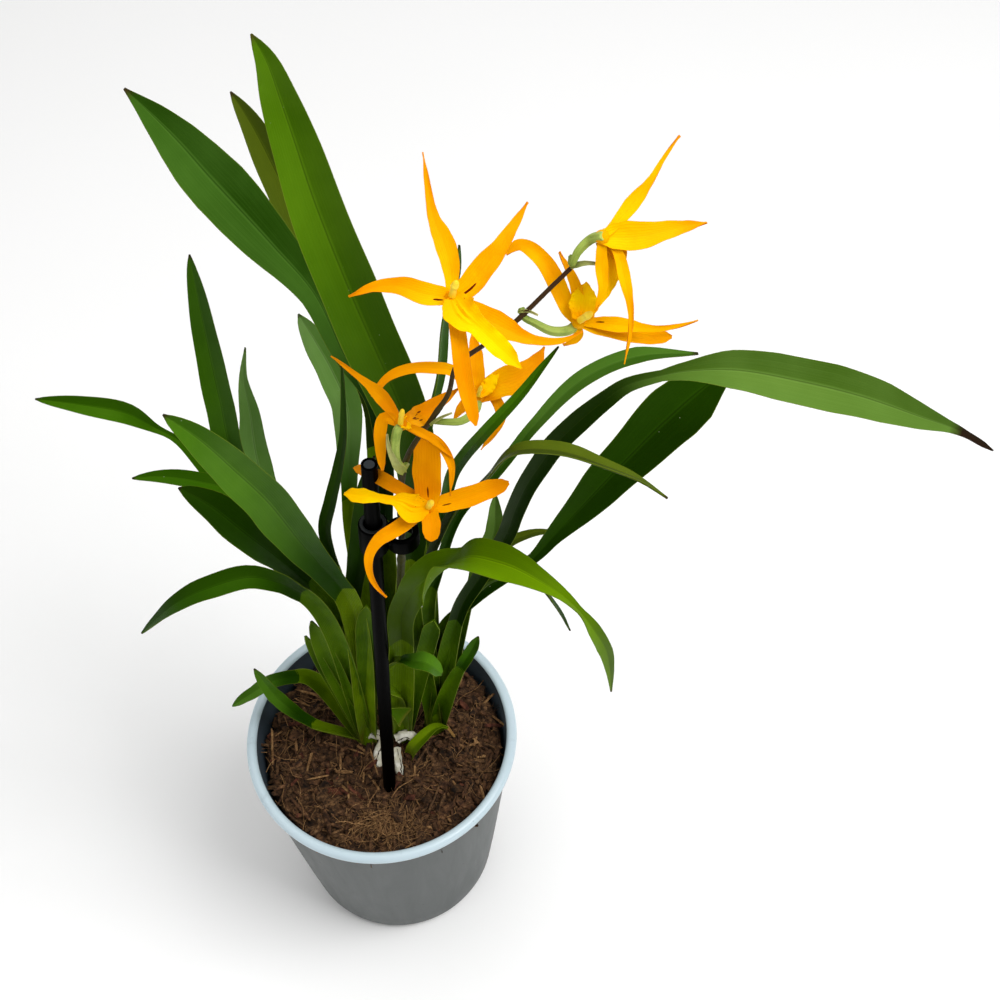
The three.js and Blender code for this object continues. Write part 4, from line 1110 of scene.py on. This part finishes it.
# The blooms. Each leans back and is rolled a little; points of a midrib are millimetres to the right,
# uphill and forward of the bloom's centre.
bloomLean, bloomRoll = 54.5, -2.1
blooms = [
    {"name": "bloom_top_left", "at": (49, -20, 453), "stalkFrom": (58, -8, 421), "face": "amber",
     "column": (1.5, 4), "bract": [(59.7, -9.9, 422.0), (57.6, -9.9, 426.9), (56.2, -11.5, 434.4)],
     "lip": {"width": 10.6, "path": [(2.8, -5, 4), (8, -9.6, 5.5), (13.6, -14.8, 5), (20.6, -21.4, 3)]},
     "tepals": [
         {"width": 6.4, "form": "tailed",
          "path": [(-0.4, 8.7, 1), (-2.6, 17, 1), (-5.7, 24.4, 0), (-7.6, 34.3, -2), (-9, 44.4, -4)]},
         {"width": 7.4, "form": "lance", "streaks": [(-0.32, 0.135, 0.12, 0.085)],
          "path": [(4.7, 3.2, 1), (9.5, 9, 1), (14.2, 15, 1), (18.4, 21.7, 0), (22.7, 28.8, -2)]},
         {"width": 6.8, "form": "lance", "streaks": [(0.42, 0.13, 0.12, 0.05)],
          "path": [(-8.7, 1.2, 1), (-15.6, 3.3, 1), (-23.4, 3.2, 0), (-31.1, 0.4, -2)]},
         {"width": 5.2, "form": "blunt",
          "path": [(2, -12.2, 1), (2.9, -21, 0), (5.2, -31.1, -2), (7, -38.1, -5)]},
         {"width": 7.5, "form": "tailed",
          "path": [(15.7, -9, -1), (23.5, -12.1, -3), (32.3, -12.4, -5), (39.4, -9.5, -7)]},
     ]},
    {"name": "bloom_behind", "at": (55, -4, 387), "stalkFrom": (39, -14, 387), "face": "amber",
     "column": (1, 3), "columnRadius": 0.7, "bractWidth": 0.8,
     "stalk": [(43.8, -15.1, 387.6), (48.9, -14.4, 386.9), (53.3, -10.8, 387.0)],
     "bract": [(38.5, -16.4, 387.9), (41.9, -15.2, 389.9), (46.0, -14.6, 391.6)],
     "lip": {"width": 5, "outline": "plain", "path": [(3, 3, 1), (5, 6, 1), (7, 9, 0)]},
     "tepals": [
         {"width": 6.2, "form": "plain", "path": [(-0.9, 7.8, 1), (-1.2, 15.1, 0), (-2.3, 22.8, -2)]},
         {"width": 10.4, "form": "plain", "streaks": [(0.2, 0.2, 0.1, 0.06)],
          "path": [(7.3, 4.2, 0), (13.5, 6.4, -2), (18.6, 10.7, -4), (22.8, 17.4, -6)]},
         {"width": 4, "form": "strap",
          "path": [(-8.7, 8.5, 1), (-15.2, 9.6, 0), (-24.2, 9.5, -2), (-31.5, 6.5, -4), (-36.8, 0.2, -6)]},
         {"width": 4, "form": "plain",
          "path": [(4.6, 0.2, -2), (7.7, -5.2, -3), (5.2, -11.9, -5), (0.7, -18.1, -7)]},
         {"width": 4, "form": "plain", "path": [(-3, -1, -2), (-6, -4, -4), (-9, -8, -6)]},
     ]},
    {"name": "bloom_left", "at": (29, -18, 391), "stalkFrom": (29, -16, 366), "face": "orange",
     "column": (1, 4.5), "columnRadius": 0.95, "bractWidth": 3.2,
     "stalk": [(28.3, -22.4, 372.5), (26.8, -24.7, 379.5), (26.7, -24.5, 387.0), (27.7, -21.7, 391.5)],
     "bract": [(28.7, -24.4, 372.3), (26.5, -27.0, 381.5), (24.7, -25.0, 387.8), (24.4, -22.1, 391.1)],
     "lip": {"width": 4, "path": [(1, 0, 1), (2, -0.6, 1), (3.4, -1.4, 0)]},
     "tepals": [
         {"width": 4.9, "form": "tailed",
          "path": [(-2.3, 3.6, 0), (-5.6, 7.8, 0), (-9.8, 12.3, 0), (-15.3, 16.6, -1), (-23.8, 22.9, -3)]},
         {"width": 7.6, "form": "plain",
          "streaks": [(0.1, 0.25, 0.1, 0.06), (-0.35, 0.36, 0.08, 0.06), (0.4, 0.45, 0.08, 0.05)],
          "path": [(3.4, 1.5, -4), (6.9, 4.1, -14), (11.6, 8, -16), (19.2, 13.1, -15)]},
         {"width": 4.2, "form": "strap",
          "path": [(-5.6, 2.1, 0), (-7, -3, -1), (-6.9, -9.5, -2), (-6.5, -15.5, -4)]},
         {"width": 3, "form": "plain", "path": [(9, -4, -2), (17, -11, -5)]},
         {"width": 3.5, "form": "plain", "path": [(12, -6, -4), (16.5, -13.5, -6), (16, -24, -9)]},
     ]},
    {"name": "bloom_front", "at": (36, -26, 354), "stalkFrom": (26, -14, 342), "face": "orange",
     "column": (1.5, 2), "bract": [(25.1, -19.9, 348.5), (28.7, -21.2, 353.7), (32.1, -25.4, 358.1)],
     "lip": {"width": 10.6, "outline": "waisted", "path": [(-5, -0.4, 3), (-9.7, 1.7, 5),
                                                           (-19.8, 3.5, 5), (-29.3, 4.5, 4)]},
     "tepals": [
         {"width": 10, "form": "blunt", "streaks": [(0.0, 0.2, 0.07, 0.08)],
          "path": [(-0.5, 12, 2), (-0.5, 26, 3)]},
         {"width": 7.2, "form": "blunt", "streaks": [(-0.2, 0.22, 0.08, 0.06)],
          "path": [(11.3, 2.8, 1), (20.4, 5.9, 1), (28.1, 8.4, 1)]},
         {"width": 5.4, "form": "lance",
          "path": [(-11.4, -7.7, 1), (-17.6, -11.9, 2), (-20.7, -17.1, 2), (-20.4, -23.4, 2),
                   (-18, -28.3, 1), (-14.6, -31.5, 0)]},
         {"width": 6.5, "form": "blunt", "path": [(1, -6, 2), (1, -12, 3)]},
         {"width": 5, "form": "blunt",
          "path": [(-8, 5, -1), (-14.4, 8.7, -4), (-20.6, 11.7, -10), (-28.1, 14.4, -20)]},
     ]},
    {"name": "bloom_right", "at": (88, -8, 427), "stalkFrom": (70, -5, 431), "face": "gold",
     "column": (4, 2), "bractWidth": 0.8,
     "stalk": [(70.7, -7.6, 429.8), (74.1, -9.3, 428.6), (79.4, -10.8, 426.3), (84.9, -9.4, 424.9)],
     "bract": [(68.8, -7.0, 431.5), (71.7, -7.5, 432.4), (75.1, -8.6, 431.5)],
     "lip": {"width": 9.4, "outline": "plain", "path": [(1, 3, 3), (1.6, 7, 2.5), (2.4, 12.6, 1)]},
     "tepals": [
         {"width": 5.8, "form": "strap",
          "path": [(-3.4, 4.4, 0), (-7.8, 13.8, 1), (-11.6, 19.5, 1), (-16.1, 23.7, 0),
                   (-19.2, 24.6, -1), (-23, 22, -3)]},
         {"width": 3.8, "form": "plain", "path": [(-0.6, 8.9, 2), (-2.8, 15.5, 2), (-6.3, 22, 1)]},
         {"width": 5, "form": "tailed", "streaks": [(0.2, 0.18, 0.12, 0.04)],
          "path": [(13.3, -1.2, 2), (24.3, -2.6, 3), (30.6, -1.7, 3), (37.4, 0.1, 4)]},
         {"width": 6, "form": "blunt", "path": [(13.6, -2.7, -2), (23, -4.2, -3), (30, -4.5, -3)]},
         {"width": 3, "form": "plain", "path": [(-0.4, -4.8, -3), (-4.7, -6.8, -5)]},
     ]},
    {"name": "bloom_top_right", "at": (95, 0, 456), "stalkFrom": (86, 1, 447), "face": "gold", "side": -1,
     "column": (1, -3), "stalk": [(85.9, -2.2, 447.2), (87.7, -0.7, 450.7), (91.5, 1.5, 453.5)],
     "bract": [(85.6, -1.6, 445.2), (89.8, -2.9, 447.9), (96.2, -4.1, 448.3)],
     "lip": {"width": 9, "outline": "lance", "path": [(3, -3.9, -4), (2.9, -9.7, -6), (1.1, -15.8, -7),
                                                      (-1, -20.7, -7)]},
     "tepals": [
         {"width": 4.8, "form": "tailed",
          "path": [(2.4, 2.1, 0), (6.8, 7.2, -1), (11.8, 13.5, -2), (15.4, 18.4, -2), (19.2, 24.8, -3),
                   (24.3, 31.8, -4)]},
         {"width": 9, "form": "lance", "path": [(11.1, 0.5, -1), (21.9, 2.8, -2), (32.5, 5.3, -4)]},
         {"width": 4, "form": "tailed",
          "path": [(4.7, -4.4, -1), (7.2, -12.8, -2), (9, -22.5, -3), (8.9, -29.7, -4), (7.3, -38.2, -6)]},
         {"width": 4, "form": "plain", "path": [(0, -9, -2), (0.5, -15, -3), (-2, -22, -4)]},
         {"width": 5, "form": "plain", "path": [(5, -4, -4), (7, -8, -9)]},
     ]},
]

petalShape = {"thickness": 0.55, "fold": 0.25, "hub": 2.3, "ripple": 0.3, "unmarked": (9, 9)}
bloomForward = Vector((0, -math.cos(math.radians(bloomLean)), math.sin(math.radians(bloomLean))))
bloomRight = Matrix.Rotation(math.radians(bloomRoll), 3, bloomForward) @ Vector((1, 0, 0))
bloomUphill = bloomForward.cross(bloomRight)


# Where the brown streaks lie on a petal, kept as a second set of coordinates.
def markStreaks(piece, streaks=()):
    layer = piece.data.uv_layers.new(name="mark")
    plain = piece.data.uv_layers[0].data
    for corner, place in enumerate(layer.data):
        s, t = 1 - 2 * plain[corner].uv.x, plain[corner].uv.y
        offsets = [((s - at) / wide, (t - along) / long) for at, along, wide, long in streaks]
        place.uv = min(offsets, key=lambda offset: math.hypot(*offset), default=petalShape["unmarked"])


# Half widths along a petal as shares of its widest place.
petalOutlines = {
    "plain": [(0, 0.5), (0.2, 0.85), (0.38, 1), (0.6, 0.84), (0.8, 0.5), (1, 0.03)],
    "tailed": [(0, 0.45), (0.1, 0.6), (0.22, 0.86), (0.33, 1), (0.43, 0.86), (0.53, 0.56), (0.65, 0.38),
               (0.8, 0.27), (1, 0.03)],
    "lance": [(0, 0.5), (0.1, 0.86), (0.24, 1), (0.4, 0.91), (0.6, 0.64), (0.8, 0.38), (1, 0.03)],
    "strap": [(0, 0.6), (0.15, 0.9), (0.4, 1), (0.7, 0.86), (0.88, 0.6), (1, 0.1)],
    "blunt": [(0, 0.55), (0.2, 0.9), (0.45, 1), (0.75, 0.93), (0.92, 0.66), (1, 0.15)],
    "lip": [(0, 0.45), (0.08, 0.82), (0.18, 1), (0.29, 0.84), (0.4, 0.56), (0.54, 0.58), (0.7, 0.6),
            (0.85, 0.42), (0.94, 0.2), (1, 0.04)],
    "waisted": [(0, 0.4), (0.1, 0.85), (0.2, 1), (0.32, 0.76), (0.44, 0.28), (0.58, 0.28), (0.76, 0.46),
                (0.9, 0.46), (1, 0.06)],
}


def petalWidth(name, t):
    return valueAt(petalOutlines[name], t, 0.5)


def bloomPoint(centre, offset):
    right, uphill, forward = offset
    return centre + bloomRight * right + bloomUphill * uphill + bloomForward * forward


def buildTepal(bloom, tepal, number):
    centre = Vector(bloom["at"])
    along = pathThrough([centre, *[bloomPoint(centre, offset) for offset in tepal["path"]]])
    phase = number * 1.9 + centre.x

    def halfWidth(t, s):
        wave = 1 + 0.03 * math.sin(17 * t + phase + s)
        return max(0.5 * tepal["width"] * petalWidth(tepal["form"], t) * wave, 0.2)

    def rise(t, s):
        ripple = petalShape["ripple"] * s * s * math.sin(12 * t + phase + (2 if s > 0 else 0))
        return petalShape["fold"] * halfWidth(t, s) * abs(s) ** 1.4 + ripple * smoothstep(0.1, 0.4, t)

    petal = sweepSheet("tepal", along, lambda t: bloomForward, halfWidth, rise, petalShape["thickness"], 10,
                       max(24, round(along.length / 0.9)), (tepalFaces[bloom["face"]], tepalBack))
    markStreaks(petal, tepal.get("streaks", ()))
    return petal


def buildLip(bloom):
    side = bloom.get("side", 1)
    centre = Vector(bloom["at"])
    foot = centre + bloomForward * 3.2 * side
    lip = bloom["lip"]
    along = pathThrough([foot, *[bloomPoint(centre, offset) for offset in lip["path"]]])

    def halfWidth(t, s):
        frill = 1 + 0.16 * noise.noise(Vector((t * 11, 4 if s > 0 else -4, centre.x)))
        return max(0.5 * lip["width"] * petalWidth(lip.get("outline", "lip"), t) * frill, 0.2)

    def rise(t, s):
        lobes = 1.5 * bump(t, 0.2, 0.12) * s * s
        frill = 1.3 * abs(s) ** 3 * noise.noise(Vector((t * 9, 7 if s > 0 else -7, centre.x + 5)))
        crest = 0.7 * (bump(s, 0.16, 0.09) + bump(s, -0.16, 0.09)) * bump(t, 0.2, 0.12)
        return petalShape["fold"] * halfWidth(t, s) * abs(s) ** 1.4 + lobes + frill + crest

    blade = sweepSheet("lip", along, lambda t: bloomForward, halfWidth, rise, petalShape["thickness"], 20, 48,
                       (lipFace, lipFace))
    markStreaks(blade)
    tip = bloomPoint(foot, (*bloom["column"], 4 * side))

    def columnRadius(t, angle):
        cap = math.sqrt(max(1 - (max(t - 0.66, 0) / 0.35) ** 2, 0.0))
        hollow = 1 - 0.3 * max(math.cos(angle), 0) * bump(t, 0.45, 0.2)
        return bloom.get("columnRadius", 1.15) * (1 + 0.16 * bump(t, 0.62, 0.08)) * cap * hollow

    path = pathThrough([foot, foot.lerp(tip, 0.5), tip])
    post = sweepTube("column", path, columnRadius, 20, 30, bloomUphill)
    giveFinishes(post, columnFinish)
    markStreaks(post)
    shadeSmooth(post)
    whole = joinPieces([blade, post], bloom["name"] + "_lip_and_column")
    finishPiece(whole, [bloom["name"] + "_lip"])


stalkShape = {"startRadius": 1.05, "endRadius": 1.5, "bractWidth": 1.7, "bractThickness": 0.35}


# The ribbed stalk of a bloom and the small dry bract at its foot.
def buildStalk(bloom):
    side = bloom.get("side", 1)
    end = Vector(bloom["at"]) - bloomForward * 2.2 * side
    start = Vector(bloom["stalkFrom"])
    between = bloom.get("stalk", [(end - bloomForward * 5 * side).lerp(start, 0.25)])

    def stalkRadius(t, angle):
        ribs = 1 + 0.08 * math.cos(6 * angle)
        width = lerp(stalkShape["startRadius"], stalkShape["endRadius"], smoothstep(0, 0.7, t))
        return width * ribs * lerp(1, 0.85, smoothstep(0.93, 1, t))

    stalk = sweepTube("stalk", pathThrough([start, *between, end]), stalkRadius, 30, 60)
    giveFinishes(stalk, stalkFinish)
    shadeSmooth(stalk, 70)
    bractHalf = 0.5 * bloom.get("bractWidth", stalkShape["bractWidth"])
    bract = sweepSheet("bract", pathThrough(bloom["bract"]), lambda t: bloomForward,
                       lambda t, s: bractHalf * petalWidth("lance", t), lambda t, s: 0.5 * s * s,
                       stalkShape["bractThickness"], 8, 24, (bractFinish, bractFinish))
    whole = joinPieces([stalk, bract], bloom["name"] + "_stem")
    finishPiece(whole, [bloom["name"] + "_stalk"])


def buildHub(bloom):
    bpy.ops.mesh.primitive_uv_sphere_add(segments=24, ring_count=16, radius=petalShape["hub"] * mm)
    hub = bpy.context.object
    hub.data.transform(Matrix.Translation(Vector(bloom["at"]) * mm))
    giveFinishes(hub, tepalFaces[bloom["face"]])
    markStreaks(hub)
    shadeSmooth(hub)
    return hub


for bloom in blooms:
    hub = buildHub(bloom)
    petals = [buildTepal(bloom, tepal, number) for number, tepal in enumerate(bloom["tepals"])]
    whole = joinPieces([hub, *petals], bloom["name"] + "_petals")
    finishPiece(whole, [bloom["name"] + "_tepals"])
    buildLip(bloom)
    buildStalk(bloom)
print("blooms built")


# The room: a plain pale floor and soft light from overhead, in metres and watts.
room = {
    "glow": 0.42, "aim": (0.02, 0, 0.25), "lights": {
        "key": {"place": (0.75, -0.25, 1.55), "size": 0.8, "power": 18},
        "top": {"place": (-0.2, 0.3, 1.9), "size": 1.4, "power": 9},
        "fill": {"place": (-1.0, -1.0, 0.9), "size": 1.2, "power": 2.5},
    },
}


def buildRoom():
    bpy.ops.mesh.primitive_plane_add(size=12, location=(0, 0, -0.0005))
    floor = bpy.context.object
    floor.name = "floor"
    finish = Finish("floor", Specular_IOR_Level=0.2)
    finish.paint(finish.mix(finish.noise(3, 2), tint("ffffff"), tint("fcfcfb")), 0.8)
    floor.data.materials.append(finish.material)
    world = bpy.data.worlds.new("soft studio")
    world.use_nodes = True
    for number, value in enumerate([(1, 1, 1, 1), room["glow"]]):
        world.node_tree.nodes["Background"].inputs[number].default_value = value
    bpy.context.scene.world = world
    for name, light in room["lights"].items():
        bpy.ops.object.light_add(type="AREA", location=light["place"])
        lamp = bpy.context.object
        lamp.name = name + " light"
        lamp.data.energy = light["power"]
        lamp.data.size = light["size"]
        aim = Vector(room["aim"]) - lamp.location
        lamp.rotation_euler = aim.to_track_quat("-Z", "Y").to_euler()


# The camera looks down on the plant and is rolled a little.
camera = {"place": (61, -330, 782), "down": 54.45, "roll": -2.1, "lens": 54}


def buildCamera():
    down = math.radians(camera["down"])
    bpy.ops.object.camera_add(location=Vector(camera["place"]) * mm)
    eye = bpy.context.object
    eye.name = "camera"
    eye.data.lens = camera["lens"]
    eye.data.sensor_width = 36
    pitch = Matrix.Rotation(math.pi / 2 - down, 4, "X")
    roll = Matrix.Rotation(math.radians(camera["roll"]), 4, "Z")
    eye.matrix_world = Matrix.Translation(Vector(camera["place"]) * mm) @ pitch @ roll
    bpy.context.scene.camera = eye


buildRoom()
buildCamera()
bpy.context.scene.view_settings.view_transform = "Standard"
